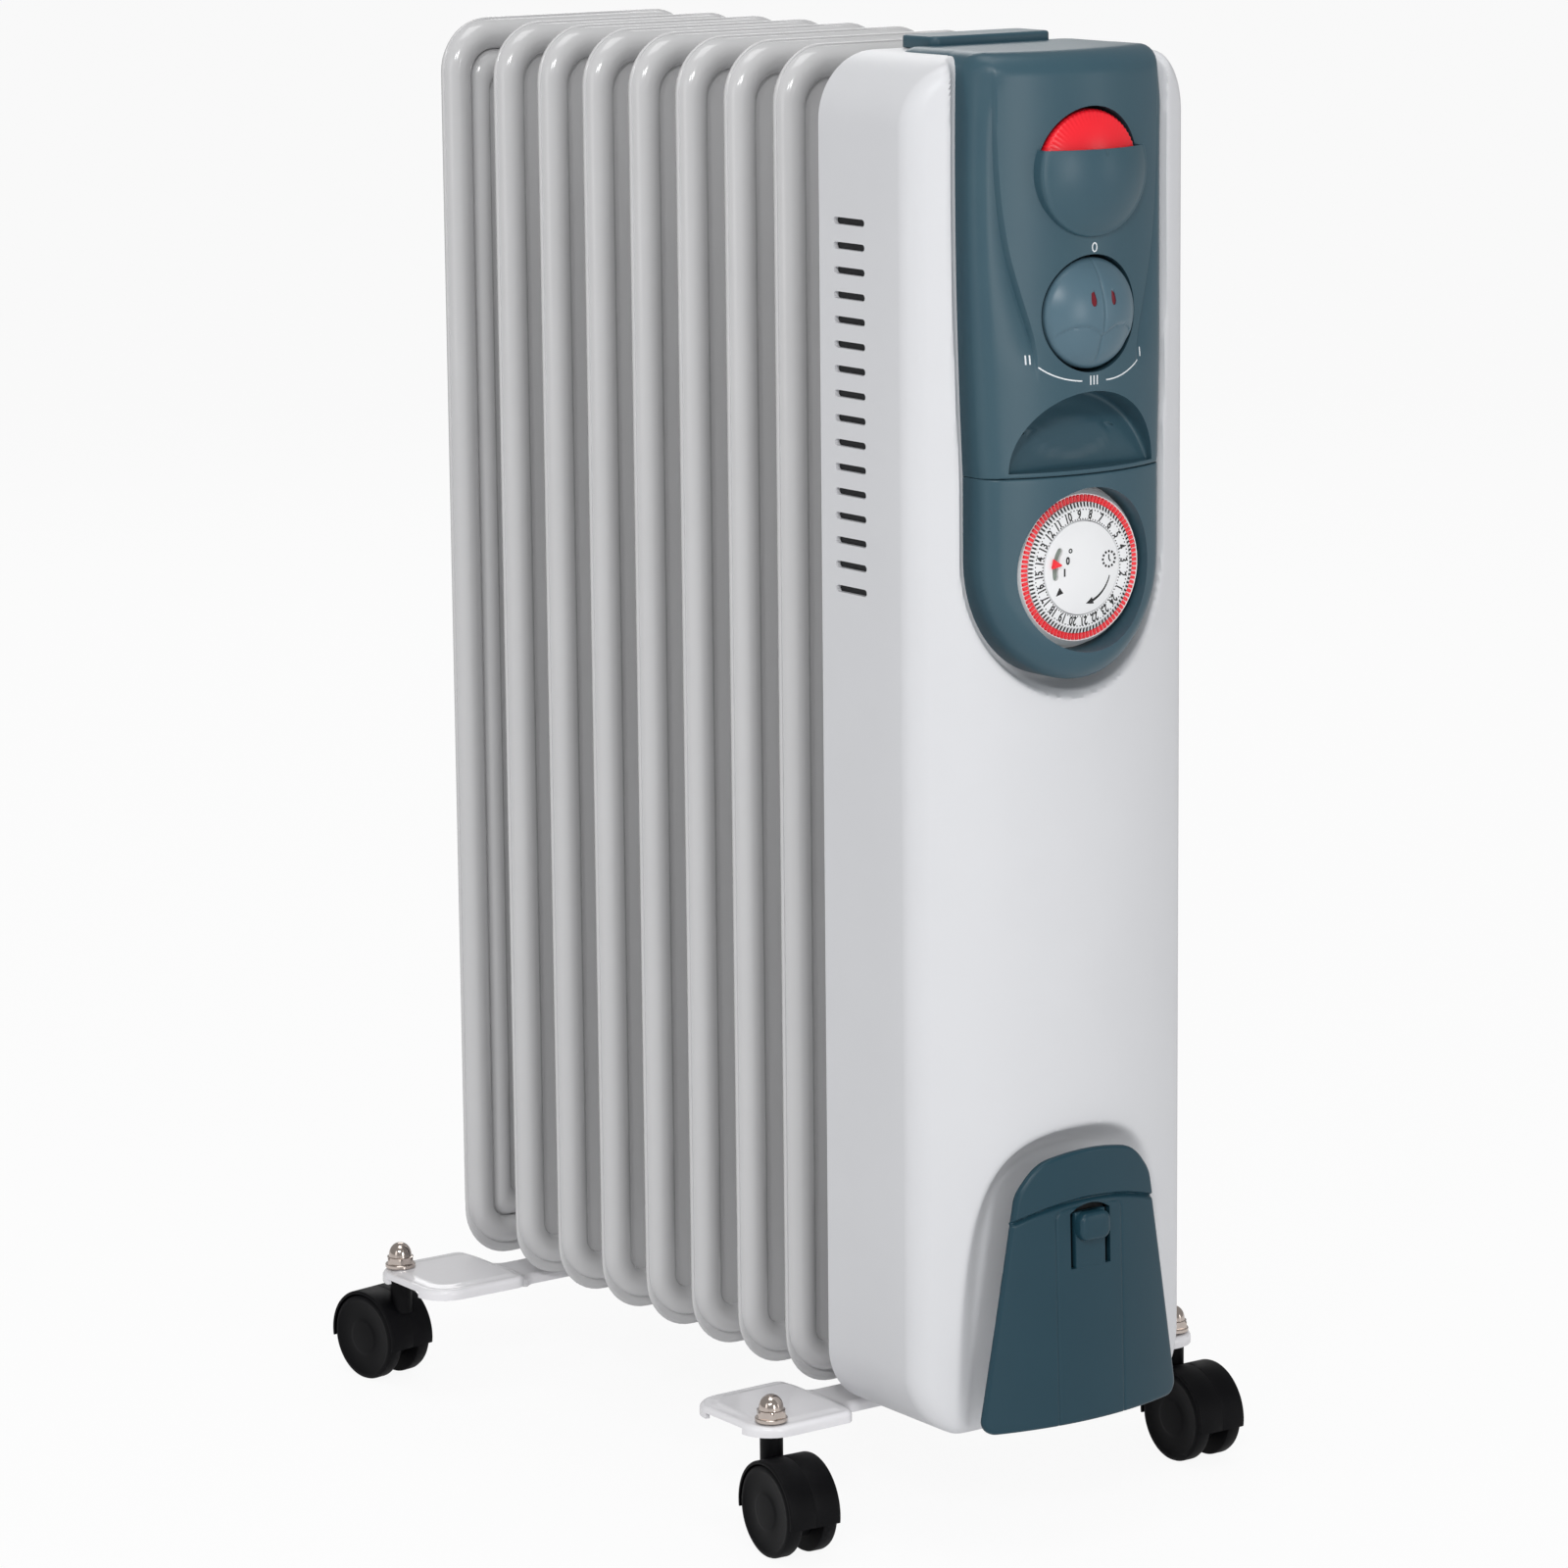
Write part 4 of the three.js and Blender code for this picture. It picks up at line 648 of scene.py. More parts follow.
# A pressed fin: its thickness follows the distance in from its edge, as a thin hem, then a half round tube,
# then a flat web with a raised oil channel; the front and rear halves mirror each other.
def finParts(node, plane, beaded):
    low, high = corners(node)
    start = math.asin(fin["hem"] / fin["tube"])
    bow = np.linspace(start, math.pi - math.asin(fin["web"] / fin["tube"]), 17)
    centre = fin["hemWidth"] + fin["tube"] * math.cos(start)
    tubeEnd = centre - fin["tube"] * math.cos(bow[-1])
    inset = np.concatenate([[0, 0.12, 0.4], centre - fin["tube"] * np.cos(bow),
                            np.linspace(tubeEnd + 0.2, fin["bead"] + fin["beadHalf"] + 0.2, 15),
                            np.linspace(fin["webFrom"], high[0] - 0.001, 16)])
    thick = np.concatenate([[0, 0.6 * fin["hem"], fin["hem"]], fin["tube"] * np.sin(bow)])
    tubeRows = len(thick)
    share = np.clip(inset / tubeEnd, 0, 1)
    deeper = 1 - np.clip((inset - tubeEnd) / (high[0] - tubeEnd), 0, 1)
    radius = [(outer + (inner - outer) * share) * deeper
              for outer, inner in (fin["topCorner"], fin["lowCorner"])]
    lift = fin["lowerHem"] * smooth(inset / fin["hemWidth"])
    x, z = nestedLoops(high[0], low[2], high[2], inset, lift, radius[0], radius[1])
    spine = np.clip(z, hubHeights[0], hubHeights[1])
    channel = fin["channel"] - np.hypot(x, z - spine)
    web = fin["web"] + fin["channelHeight"] * smooth(channel / fin["channelSlope"])
    for height in hubHeights:
        near = fin["hub"] + fin["flare"] - np.hypot(x, z - height)
        web = np.maximum(web, fin["web"] + (fin["channelHeight"] + fin["flareHeight"])
                         * smooth(near / fin["flare"]) ** 1.5)
    if beaded:
        off = np.abs(inset - fin["bead"])[:, None] / fin["beadHalf"]
        web = np.maximum(web, fin["web"] + fin["beadHeight"] * np.sqrt(np.clip(1 - off * off, 0, 1)))
    half = np.where(np.arange(len(inset))[:, None] < tubeRows,
                    np.concatenate([thick, np.zeros(len(inset) - tubeRows)])[:, None], web)
    front = asPoints(x, plane - half, z)
    rear = asPoints(x, plane + half, z)
    parts = [gridPart(front, closeColumns=True), gridPart(rear, closeColumns=True)]
    for height in hubHeights:
        reach = [low[1] + 0.15, high[1] - 0.15]
        r = fin["hub"]
        parts.append(turned([[0, -reach[1]], [r - 1, -reach[1]], [r, -reach[1] + 1], [r, -reach[0] - 1],
                             [r - 1, -reach[0]], [0, -reach[0]]], (0, 0, height), sides=48))
    return parts


# The fins stand at an even pitch, with a wider gap inside either end fin, where the feet are clamped.
def buildFins():
    plane = highCorner("fin_1")[1] - fin["rearHub"]
    for number in range(1, 10):
        node = f"fin_{number}"
        piece = newMesh(f"pressed_fin_{number}", finParts(node, plane, number == 1))
        dress(piece, finEnamel, "heater", [node], creases=50)
        plane -= fin["footGap"] if number in (1, 8) else fin["pitch"]


buildFins()
print("fins built")


# Housing

housing = {"corner": 28, "crown": 20, "behindFascia": 9, "edge": 7, "wall": 2.2,
           "trough": 7, "troughEase": 0.8, "troughBehindEdge": 1.2, "troughPower": 2.2, "troughNear": 20,
           "archFloor": 14, "archSlope": 10.5, "archEase": 0.8, "archNear": 200,
           "vents": 16, "ventPitch": 10.2, "ventLength": 21.5, "ventHeight": 3.0, "ventDrop": 68,
           "ventFromRear": 10, "ventCut": (-12, 4), "screenPast": 3, "screenThick": 0.18,
           "fineHalf": 60, "openInside": 4}
arch = {"foot": 30, "shoulder": 150, "top": 180.5, "half": 56, "leanIn": 6}
fascia = {"half": 49, "waist": 46, "bow": 1.5, "corner": 10, "crown": 15, "edge": 5.5, "topRound": 11,
          "toe": 52, "toeRound": 13, "seamRound": 0.9, "wall": 2.4, "root": -166.4,
          "topBlend": (26, 22), "toeBlend": (42, 38)}         # how far in the rounding grows, and over what
shellLow, shellHigh = corners("front_housing")
faceCrownY = lowCorner("upper_fascia")[1]
crownY = faceCrownY + housing["behindFascia"]
seamZ = (lowCorner("upper_fascia")[2] + highCorner("timer_fascia")[2]) / 2
toeZ = lowCorner("timer_fascia")[2]
faceTopZ = highCorner("upper_fascia")[2]
ventY = shellHigh[1] - housing["ventFromRear"] - housing["ventLength"] / 2


# How far a crowned face falls back at x: an arc that falls by the crown over half the width.
def crownFall(x, half, crown):
    radius = (half * half + crown * crown) / (2 * crown)
    return radius - np.sqrt(np.maximum(radius * radius - x * x, 1))


# Half-width of the upper fascia by height: a bowed side, then a rounded top corner.
def upperHalf(z):
    r = fascia["corner"]
    t = np.linspace(0, 1, 60)
    middleZ, cornerZ = (seamZ + faceTopZ) / 2, faceTopZ - r
    sideZ = bowed(seamZ, middleZ, cornerZ, t)
    sideX = bowed(fascia["waist"], fascia["half"] + fascia["bow"], fascia["half"], t)
    topZ = (1 - t) ** 2 * cornerZ + (1 - (1 - t) ** 2) * faceTopZ
    topX = fascia["half"] - r * t * t
    return np.interp(z, np.concatenate([sideZ, topZ[1:]]), np.concatenate([sideX, topX[1:]]))


# Half-width of the timer fascia by height: straight, ending in half an ellipse.
def lowerHalf(z):
    drop = np.clip((toeZ + fascia["toe"] - z) / fascia["toe"], 0, 1)
    return fascia["waist"] * np.sqrt(1 - drop * drop)


def mirroredOutline(z, half):
    return np.concatenate([asPoints(half, z), asPoints(-half, z)[::-1]])


# Heights from the toe's tip to where its sides run straight, crowded towards the tip.
def toeHeights(count):
    return toeZ + fascia["toe"] * (1 - np.sin(np.linspace(math.pi / 2, 0, count)))


# Both fascias' shared outline, seen from the front.
def fasciaEdge():
    corner = fascia["corner"]
    z = np.concatenate([toeHeights(30), np.linspace(toeZ + fascia["toe"] + 4, faceTopZ - corner, 30),
                        faceTopZ - corner * (1 - np.sin(np.linspace(0.1, math.pi / 2, 10)))])
    return mirroredOutline(z, np.where(z < seamZ, lowerHalf(z), upperHalf(z)))


fasciaOutline = fasciaEdge()


# The cord recess: a wide arch that stands on the housing's lower edge.
def archOutline():
    t = np.linspace(0, 1, 50)
    half = arch["half"]
    x = (1 - t) ** 3 * half + 3 * t * (1 - t) ** 2 * half + 3 * t * t * (1 - t) * (half - arch["leanIn"])
    z = ((1 - t) ** 3 * arch["foot"] + 3 * t * (1 - t) ** 2 * arch["shoulder"]
         + (3 * t * t * (1 - t) + t ** 3) * arch["top"])
    return mirroredOutline(z, x)


# Half-width of the housing by height, with round corners at its foot and its top.
def housingHalf(z):
    r = housing["corner"]
    over = np.maximum(np.maximum(shellLow[2] + r - z, z - shellHigh[2] + r), 0)
    return shellHigh[0] - r + np.sqrt(np.maximum(r * r - over * over, 0))


# The front face: a crowned sheet with rounded edges, a trough round the fascias and the arched cord recess.
def housingFace(x, z):
    y = crownY + crownFall(x, shellHigh[0], housing["crown"])
    near = z > toeZ - housing["troughNear"]
    trough = np.zeros_like(y)
    past = eased(housing["trough"] + insideOutline(x[near], z[near], fasciaOutline), housing["troughEase"])
    share = np.clip(past / housing["trough"], 0, 1)
    trough[near] = 1 - (1 - share) ** housing["troughPower"]
    floorY = crownY + housing["crown"] - housing["troughBehindEdge"]
    y = y + np.maximum(floorY - y, 0) * trough
    near = z < housing["archNear"]
    depth = np.zeros_like(y)
    past = eased(insideOutline(x[near], z[near], archOutline()), housing["archEase"])
    depth[near] = 1 - (1 - np.clip(past / housing["archSlope"], 0, 1)) ** 2
    y = y + np.maximum(crownY + housing["archFloor"] - y, 0) * depth
    r = housing["corner"]
    qx = np.abs(x) - (shellHigh[0] - r)
    qz = np.abs(z - (shellLow[2] + shellHigh[2]) / 2) - ((shellHigh[2] - shellLow[2]) / 2 - r)
    edge = r - np.hypot(np.maximum(qx, 0), np.maximum(qz, 0)) - np.minimum(np.maximum(qx, qz), 0)
    return y + roundOff(edge, housing["edge"])


def buildHousing():
    r = housing["corner"]
    runs = [(192, 1.3), (toeZ - 12, 14), (toeZ + 60, 1.3), (shellHigh[2] - r, 4.5)]
    rows = np.concatenate([shellLow[2] + r * (1 - crowded(17)[::-1]), unevenRows(shellLow[2] + r, runs)[1:],
                           shellHigh[2] - r * (1 - crowded(17)[1:])])
    edgeShare = housing["fineHalf"] / shellHigh[0]
    mid = np.linspace(-edgeShare, edgeShare, 97)
    side = edgeShare + (1 - edgeShare) * crowded(15)[1:]
    u = np.concatenate([-side[::-1], mid, side])
    points, faces = joined(faceShell(rows, housingHalf(rows), u, housingFace, shellHigh[1], 5))
    # the sheet is open behind the fascias
    deep = insideOutline(points[:, 0], points[:, 2], fasciaOutline) > housing["openInside"]
    deep &= points[:, 1] < crownY + housing["crown"] + housing["edge"]
    faces = faces[~deep[faces].all(1)]
    piece = thicken(newMesh("housing_shell", (points, faces), closed=False), housing["wall"])
    carve(piece, ventParts())
    dress(piece, housingCoat, "heater", ["front_housing"], creases=38)


# The vents: short level slots with round ends, in a row down each side.
def ventParts():
    turn = np.linspace(math.pi / 2, math.pi * 1.5, 9)
    h, reach = housing["ventHeight"] / 2, housing["ventLength"] / 2 - housing["ventHeight"] / 2
    end = asPoints(-reach + h * np.cos(turn), h * np.sin(turn))
    slot = np.concatenate([end, -end])
    parts = []
    for number in range(housing["vents"]):
        height = shellHigh[2] - housing["ventDrop"] - number * housing["ventPitch"]
        for side in (-1, 1):
            ends = [side * (shellHigh[0] + past) for past in housing["ventCut"]]
            parts.append(fanned(np.stack([asPoints(x, ventY + slot[:, 0], height + slot[:, 1])
                                          for x in ends])))
    return parts


# A thin dark sheet close behind each row of vents: painted shade, so that the slots show dark inside.
def buildScreens():
    low = shellHigh[2] - housing["ventDrop"] - (housing["vents"] + 0.5) * housing["ventPitch"]
    high = shellHigh[2] - housing["ventDrop"] + 1.5 * housing["ventPitch"]
    steps = [[0, 0], [0, housing["screenThick"]]]
    shadeSheets = []
    for side in (-1, 1):
        points, faces = roundedStack(housing["ventLength"] / 2 + housing["screenPast"], (high - low) / 2, 2,
                                     steps)
        x = side * (shellHigh[0] - housing["wall"] - 0.1) - points[:, 2] * side
        shadeSheets.append((asPoints(x, ventY + points[:, 0], (low + high) / 2 + points[:, 1]), faces))
    # the black finish here is painted shade inside the vents
    dress(newMesh("vent_screens", shadeSheets), darkAbs, "heater", creases=40)


buildHousing()
buildScreens()
print("housing built")


# Fascias

# The raised middle panel: its half-width by height, how high its edge stands, and over what that fades.
panel = {"line": ((455, 27), (500, 26), (514, 27), (533, 33), (551, 38), (567, 40.4), (583, 41.8),
                  (603, 42.6), (636, 43)),
         "step": ((455, 0), (504, 0), (516, 2.4), (535, 2.9), (560, 2.5), (590, 2.0), (606, 1.4),
                  (618, 0.5), (628, 0), (636, 0)),
         "fade": 9, "bevel": 0.8}
# Radii of the round openings in the fascias, and of what stands in them.
controls = {"thermostat": 26.0, "knob": 24.2, "timer": 34.3,
            "dialRim": 24.7, "knobRim": 22.8, "cover": 27.4, "timerRim": 33.0}
sleeve = {"gap": 0.15, "outer": 2.2, "behindFace": 1.2, "depth": 16, "sides": 96}
# The finger recess: half an ellipse, with a floor that comes forward towards its lower edge.
grip = {"half": 37.5, "rise": 32, "aboveSeam": 2.0, "floorLow": 12, "floorHigh": 22, "sheet": 1.8,
        "boss": (21, 9), "bossUp": 13, "bossProud": 0.7, "bossEase": 0.12,
        "insets": (-0.15, -0.15, 0.1, 0.5, 1.1, 2.0, 3.2, 5, 7, 9, 11, 13),
        "depths": (0, 0.55, 0.78, 0.9, 0.96, 0.99, 1, 1, 1, 1, 1, 1, 1)}
# How far along Y the cutters reach: from ahead of every face back to these depths.
cuts = {"ahead": -230, "controls": -150, "grip": -190, "tongue": -185}
topBand = {"aheadOfRoot": -14, "ontoSlab": 11, "narrower": 0.3, "corner": 12,
           "ups": (0, 2, 4, 6, 7, 8, 8.8, 9.4, 9.8), "crest": 9.9, "foot": -0.4}
panelLine = softCurve(panel["line"], 14)
panelStep = softCurve(panel["step"], 8)
thermostatPlace = jointPlace("thermostat_turn")
knobPlace = jointPlace("power_knob_turn")
timerPlace = jointPlace("timer_dial_turn")


# The fascia's face: a crowned sheet, rounded more at its top and toe than at its sides, with a valley that
# runs along the outside of the raised panel's edge and fades towards the sides.
def fasciaY(x, z):
    y = faceCrownY + crownFall(x, fascia["half"] + fascia["bow"], fascia["crown"])
    inward, over = fascia["topBlend"]
    radius = fascia["edge"] + (fascia["topRound"] - fascia["edge"]) * smooth((z - faceTopZ + inward) / over)
    inward, over = fascia["toeBlend"]
    radius = radius + (fascia["toeRound"] - fascia["edge"]) * smooth((toeZ + inward - z) / over)
    inside = np.maximum(insideOutline(x, z, fasciaOutline), 0)
    s = np.clip(radius - inside, 0, radius)
    y = y + radius - np.sqrt(radius * radius - s * s)
    past = np.abs(x) - np.interp(z, *panelLine)
    share = np.where(past < 0, smooth(1 + past / panel["bevel"]),
                     np.exp(-np.maximum(past, 0) / panel["fade"]))
    return y + np.interp(z, *panelStep) * share


# Each fascia's own face, which is rounded where the two meet at the seam.
def upperFace(x, z):
    return fasciaY(x, z) + roundOff(z - lowCorner("upper_fascia")[2], fascia["seamRound"])


def lowerFace(x, z):
    return fasciaY(x, z) + roundOff(highCorner("timer_fascia")[2] - z, fascia["seamRound"])


# The ring that lines a round opening, from just behind the face, which it follows, back to its seat.
def sleeveParts(radius, height):
    angle = np.arange(sleeve["sides"]) * 2 * math.pi / sleeve["sides"]
    near, far = radius + sleeve["gap"], radius + sleeve["outer"]
    rim = np.array([[near, 0], [far, 0], [far, 1], [near, 1]])
    x = rim[:, :1] * np.cos(angle)
    z = height + rim[:, :1] * np.sin(angle)
    front = fasciaY(x, z) + sleeve["behindFace"]
    back = faceCrownY + sleeve["depth"]
    return gridPart(asPoints(x, front + (back - front) * rim[:, 1:], z), closeRows=True, closeColumns=True)


# The finger recess: loops of half an ellipse, down a steep wall and in over a floor that slopes forward to
# its lower edge, with a low oval boss on it.
def gripParts():
    half, rise = grip["half"], grip["rise"]
    low = seamZ + grip["aboveSeam"]
    turn = np.linspace(0, math.pi, 49)
    rimX = np.concatenate([half * np.cos(turn), -half * np.cos(turn[1:-1])])
    rimUp = np.concatenate([rise * np.sin(turn), np.zeros(len(turn) - 2)])
    inset = np.array([*grip["insets"], rise / 2])[:, None]
    share = np.array(grip["depths"])[:, None]
    x = rimX * (1 - inset / half)
    z = low + inset + rimUp * (1 - 2 * inset / rise)
    start = fasciaY(x, z) + sleeve["behindFace"]
    slope = np.clip((z - low) / rise, 0, 1)
    floorY = faceCrownY + grip["floorLow"] + (grip["floorHigh"] - grip["floorLow"]) * slope
    boss = 1 - np.hypot(x / grip["boss"][0], (z - low - grip["bossUp"]) / grip["boss"][1])
    floorY = floorY - grip["bossProud"] * smooth(boss / grip["bossEase"])
    return facing(gridPart(asPoints(x, start + (floorY - start) * share, z), closeColumns=True))


# A round cutter through the fascias, of a radius and at a height.
def roundCutter(radius, height):
    near, far = -cuts["ahead"], -cuts["controls"]
    return turned([[0, far], [radius, far], [radius, near], [0, near]], (0, 0, height), sides=128)


# The upper fascia, its two round openings with their linings, and the finger recess.
def buildUpperFascia():
    low = lowCorner("upper_fascia")[2]
    r = fascia["corner"]
    rows = np.concatenate([[low, low + 0.25, low + 0.6], unevenRows(low + 1, [(faceTopZ - r, 2.2)]),
                           faceTopZ - r * (1 - crowded(9)[1:])])
    half = upperHalf(rows)
    line = np.minimum(np.interp(rows, *panelLine), half - 5)
    # columns: even ones over the panel, close ones at its edge, and crowded ones towards the side
    out = crowded(13)
    lineShare = np.concatenate([np.linspace(0, 1, 17), np.ones(5), 1 - out])
    halfShare = np.concatenate([np.zeros(22), out])
    offset = np.concatenate([-1.5 * np.linspace(0, 1, 17), [-0.9, -0.45, 0, 0.5, 1.2], 2.2 * (1 - out)])
    x = line[:, None] * lineShare + half[:, None] * halfShare + offset
    x = np.concatenate([-x[:, :0:-1], x], 1)
    parts = faceShell(rows, half, x / half[:, None], upperFace, fascia["root"], 4)
    piece = thicken(newMesh("upper_fascia_moulding", parts, closed=False), fascia["wall"])
    turn = np.linspace(0, math.pi, 65)
    loop = asPoints(grip["half"] * np.cos(turn), seamZ + grip["aboveSeam"] + grip["rise"] * np.sin(turn))
    carve(piece, [prism(loop, cuts["ahead"], cuts["grip"])], folds=True)
    openings = ((controls["thermostat"], thermostatPlace[2]), (controls["knob"], knobPlace[2]))
    for radius, height in openings:
        carve(piece, [roundCutter(radius, height)], folds=True)
    dress(piece, slateAbs, "heater", ["upper_fascia"], creases=35)
    recess = thicken(newMesh("finger_recess_moulding", gripParts(), closed=False), grip["sheet"])
    dress(recess, slateAbs, "heater", creases=50)
    lining = newMesh("control_sleeves", [sleeveParts(radius, height) for radius, height in openings])
    dress(lining, slateAbs, "heater", creases=40)


# The band that runs back over the housing's top, and the slab that it runs on to.
def buildTop():
    r = fascia["corner"]
    low, high = corners("top_slab")
    bandRear, bandFront = low[1] + topBand["ontoSlab"], fascia["root"] + topBand["aheadOfRoot"]
    steps = [[0, topBand["foot"]]] + [[r - math.sqrt(r * r - up * up), up] for up in topBand["ups"]]
    points, faces = roundedStack(fascia["half"] - topBand["narrower"], (bandRear - bandFront) / 2,
                                 topBand["corner"], steps + [[topBand["corner"], topBand["crest"]]])
    band = (points + [0, (bandRear + bandFront) / 2, faceTopZ - r], faces)
    dress(newMesh("top_band", [band]), slateAbs, "heater", creases=50)
    size, tall = (high - low) / 2, high[2] - low[2]
    points, faces = roundedStack(size[0], size[1], 4, [[0.3, 0], [0, 0.3], [0, tall - 1.1],
                                                       [0.3, tall - 0.35], [1.1, tall], [4, tall]])
    piece = newMesh("top_slab_moulding", [(points + [0, middle("top_slab")[1], low[2]], faces)])
    dress(piece, slateAbs, "heater", ["top_slab"], creases=50)


# The timer fascia, with the timer's round opening and its lining.
def buildTimerFascia():
    high = highCorner("timer_fascia")[2]
    rows = np.concatenate([toeHeights(26), unevenRows(toeZ + fascia["toe"], [(high - 1, 2.0)])[1:],
                           [high - 0.6, high - 0.25, high]])
    # the columns crowd towards the sides, as a sine that stops short of its top
    widest = math.pi / 2 * 0.86
    u = np.sin(np.linspace(-widest, widest, 61)) / math.sin(widest)
    parts = faceShell(rows, lowerHalf(rows), u, lowerFace, fascia["root"], 4, bottomCap=False)
    piece = thicken(newMesh("timer_fascia_moulding", parts, closed=False), fascia["wall"])
    carve(piece, [roundCutter(controls["timer"], timerPlace[2])], folds=True)
    dress(piece, slateAbs, "heater", ["timer_fascia"], creases=35)
    lining = newMesh("timer_sleeve", [sleeveParts(controls["timer"], timerPlace[2])])
    dress(lining, slateAbs, "heater", creases=40)


# The switch's marks: 0, II, III and I round the knob, joined below it by two thin arcs. Places are [x, up]
# from the knob's middle, and an arc goes through its three.
switchMarks = {"zero": (0.9, 27), "zeroSize": (1.15, 1.75), "thin": 0.55, "bold": 0.62,
               "strokeUps": (-1.9, -0.9, 0, 0.9, 1.9),
               "strokes": ((-30.5, -17.4), (-28.7, -17.4), (-1.1, -27.4), (0.6, -27.4), (2.3, -27.4),
                           (28.6, -18.2)),
               "arcs": (((-25.5, -20.6), (-16.5, -25.2), (-5.4, -27.4)),
                        ((7.2, -27.8), (17.2, -26.2), (26.6, -21.4)))}


def printSwitchMarks():
    height = knobPlace[2]
    turn = np.linspace(0, 2 * math.pi, 33)
    wide, tall = switchMarks["zeroSize"]
    x, up = switchMarks["zero"]
    words = [inkLine(asPoints(x + wide * np.cos(turn), height + up + tall * np.sin(turn)),
                     switchMarks["thin"], fasciaY)]
    for x, up in switchMarks["strokes"]:
        stroke = [(x, height + up + t) for t in switchMarks["strokeUps"]]
        words.append(inkLine(stroke, switchMarks["bold"], fasciaY))
    dress(newMesh("switch_figures", words), whiteInk, "heater", creases=50)
    lines = []
    t = np.linspace(0, 1, 25)[:, None]
    for ends in switchMarks["arcs"]:
        a, b, c = (np.array(p)[None, :] for p in ends)
        path = bowed(a, 2 * b - (a + c) / 2, c, t) + [[0, height]]
        lines.append(inkLine(path, switchMarks["thin"], fasciaY))
    dress(newMesh("switch_arcs", lines), whiteInk, "heater", creases=50)


buildUpperFascia()
buildTop()
buildTimerFascia()
printSwitchMarks()
print("fascias built")


# Thermostat, with its half dome

ribs = {"count": 72, "depth": 0.35, "inner": 20.2, "ease": 1.5, "shoulder": 3.2, "behindFace": 1.5}
cover = {"wall": 2.0, "shoulder": 2.2, "innerShoulder": 1.2, "aheadOfFace": 1, "skirt": 7, "steps": 18,
         "cut": (40, 30, 40, -200),
         "notch": ((0, -3.2), (0.35, -3.0), (0.75, -1.5), (0.8, 3), (0, 3)), "notchIn": 0.4}


# A control's profile of [radius, along]: a plain side, a rounded shoulder and a low dome.
def controlProfile(radius, rear, rim, rise, shoulder, steps=14):
    sphere = (radius * radius + rise * rise) / (2 * rise)
    bend = np.linspace(0, math.pi / 2, 7)
    r = np.linspace(radius - shoulder * 0.55, 0, steps)
    dome = asPoints(r, rim + np.sqrt(sphere * sphere - r * r) - (sphere - rise))
    start = dome[0]
    side = asPoints(start[0] + (radius - start[0]) * np.cos(bend),
                    start[1] - shoulder + shoulder * np.sin(bend))[:-1]
    return np.concatenate([[[0, rear], [radius, rear]], side, dome])


# The red dial that shows above the cover.
def buildThermostat():
    low, high = corners("thermostat_dial")
    radius = controls["dialRim"]
    rim = -(faceCrownY + ribs["behindFace"])
    profile = controlProfile(radius, -high[1], rim, -low[1] - rim, ribs["shoulder"])

    # fine ribs over the shoulder: the radius dips between them, only outside the flat of the dial
    def wave(angle, profile):
        zone = smooth((profile[:, :1] - ribs["inner"]) / ribs["ease"])
        dip = (0.5 - 0.5 * np.cos(ribs["count"] * angle)) ** 0.6
        return 1 - zone * ribs["depth"] / radius * dip
    dial = turned(profile, (0, 0, thermostatPlace[2]), sides=ribs["count"] * 6, wave=wave)
    dress(newMesh("thermostat_dial_red", [dial]), redAbs, "thermostat_dial",
          ["thermostat_dial"], creases=50)


# The cover: a domed cup over the dial, cut off level above its middle, with a small notch in that edge.
def buildCover():
    low, high = corners("thermostat_cover")
    radius, wall = controls["cover"], cover["wall"]
    rim = -(faceCrownY - cover["aheadOfFace"])
    rise, skirt, steps = -low[1] - rim, rim - cover["skirt"], cover["steps"]
    outer = controlProfile(radius, skirt, rim, rise, cover["shoulder"], steps)[1:]
    inner = controlProfile(radius - wall, skirt, rim, rise - wall, cover["innerShoulder"], steps)[1:]
    loop = np.concatenate([outer, inner[::-1], outer[:1]])
    piece = newMesh("thermostat_cover_dome", [turned(loop, (0, 0, thermostatPlace[2]), sides=128)])
    halfX, halfY, tall, y = cover["cut"]
    points, faces = roundedStack(halfX, halfY, 1, [[0, 0], [0, tall]])
    carve(piece, [(points + [0, y, high[2]], faces)])
    carve(piece, [turned(cover["notch"], (0, low[1] + cover["notchIn"], high[2]), "up", 16)])
    dress(piece, slateAbs, "heater", ["thermostat_cover"], creases=35)


buildThermostat()
buildCover()
print("thermostat built")


# Power knob

knob = {"dome": 10, "proud": 8.5, "edge": 1.4, "seam": 0.6, "seamWidth": 0.5, "seamLow": -21, "ease": 3,
        "apex": (10, -4.2), "drop": 4.3, "facet": 0.9, "facetEase": 0.5, "facetFade": 13, "facetHalf": 20.5,
        "window": (5.1, 8.0), "windowHigh": 4.3, "windowWide": (0.55, 1.45), "windowDeep": 0.8,
        "wall": 1.8, "paneGrow": 0.15, "paneBehind": 0.45, "paneBulge": 0.12, "paneThick": 1.5}


# The knob's dome: part of a sphere that rises evenly from the rim.
def domeY(x, z):
    radius, rise = controls["knobRim"], knob["dome"]
    sphere = (radius * radius + rise * rise) / (2 * rise)
    away = np.minimum(x * x + (z - knobPlace[2]) ** 2, radius * radius)
    return faceCrownY - knob["proud"] + sphere - np.sqrt(sphere * sphere - away)


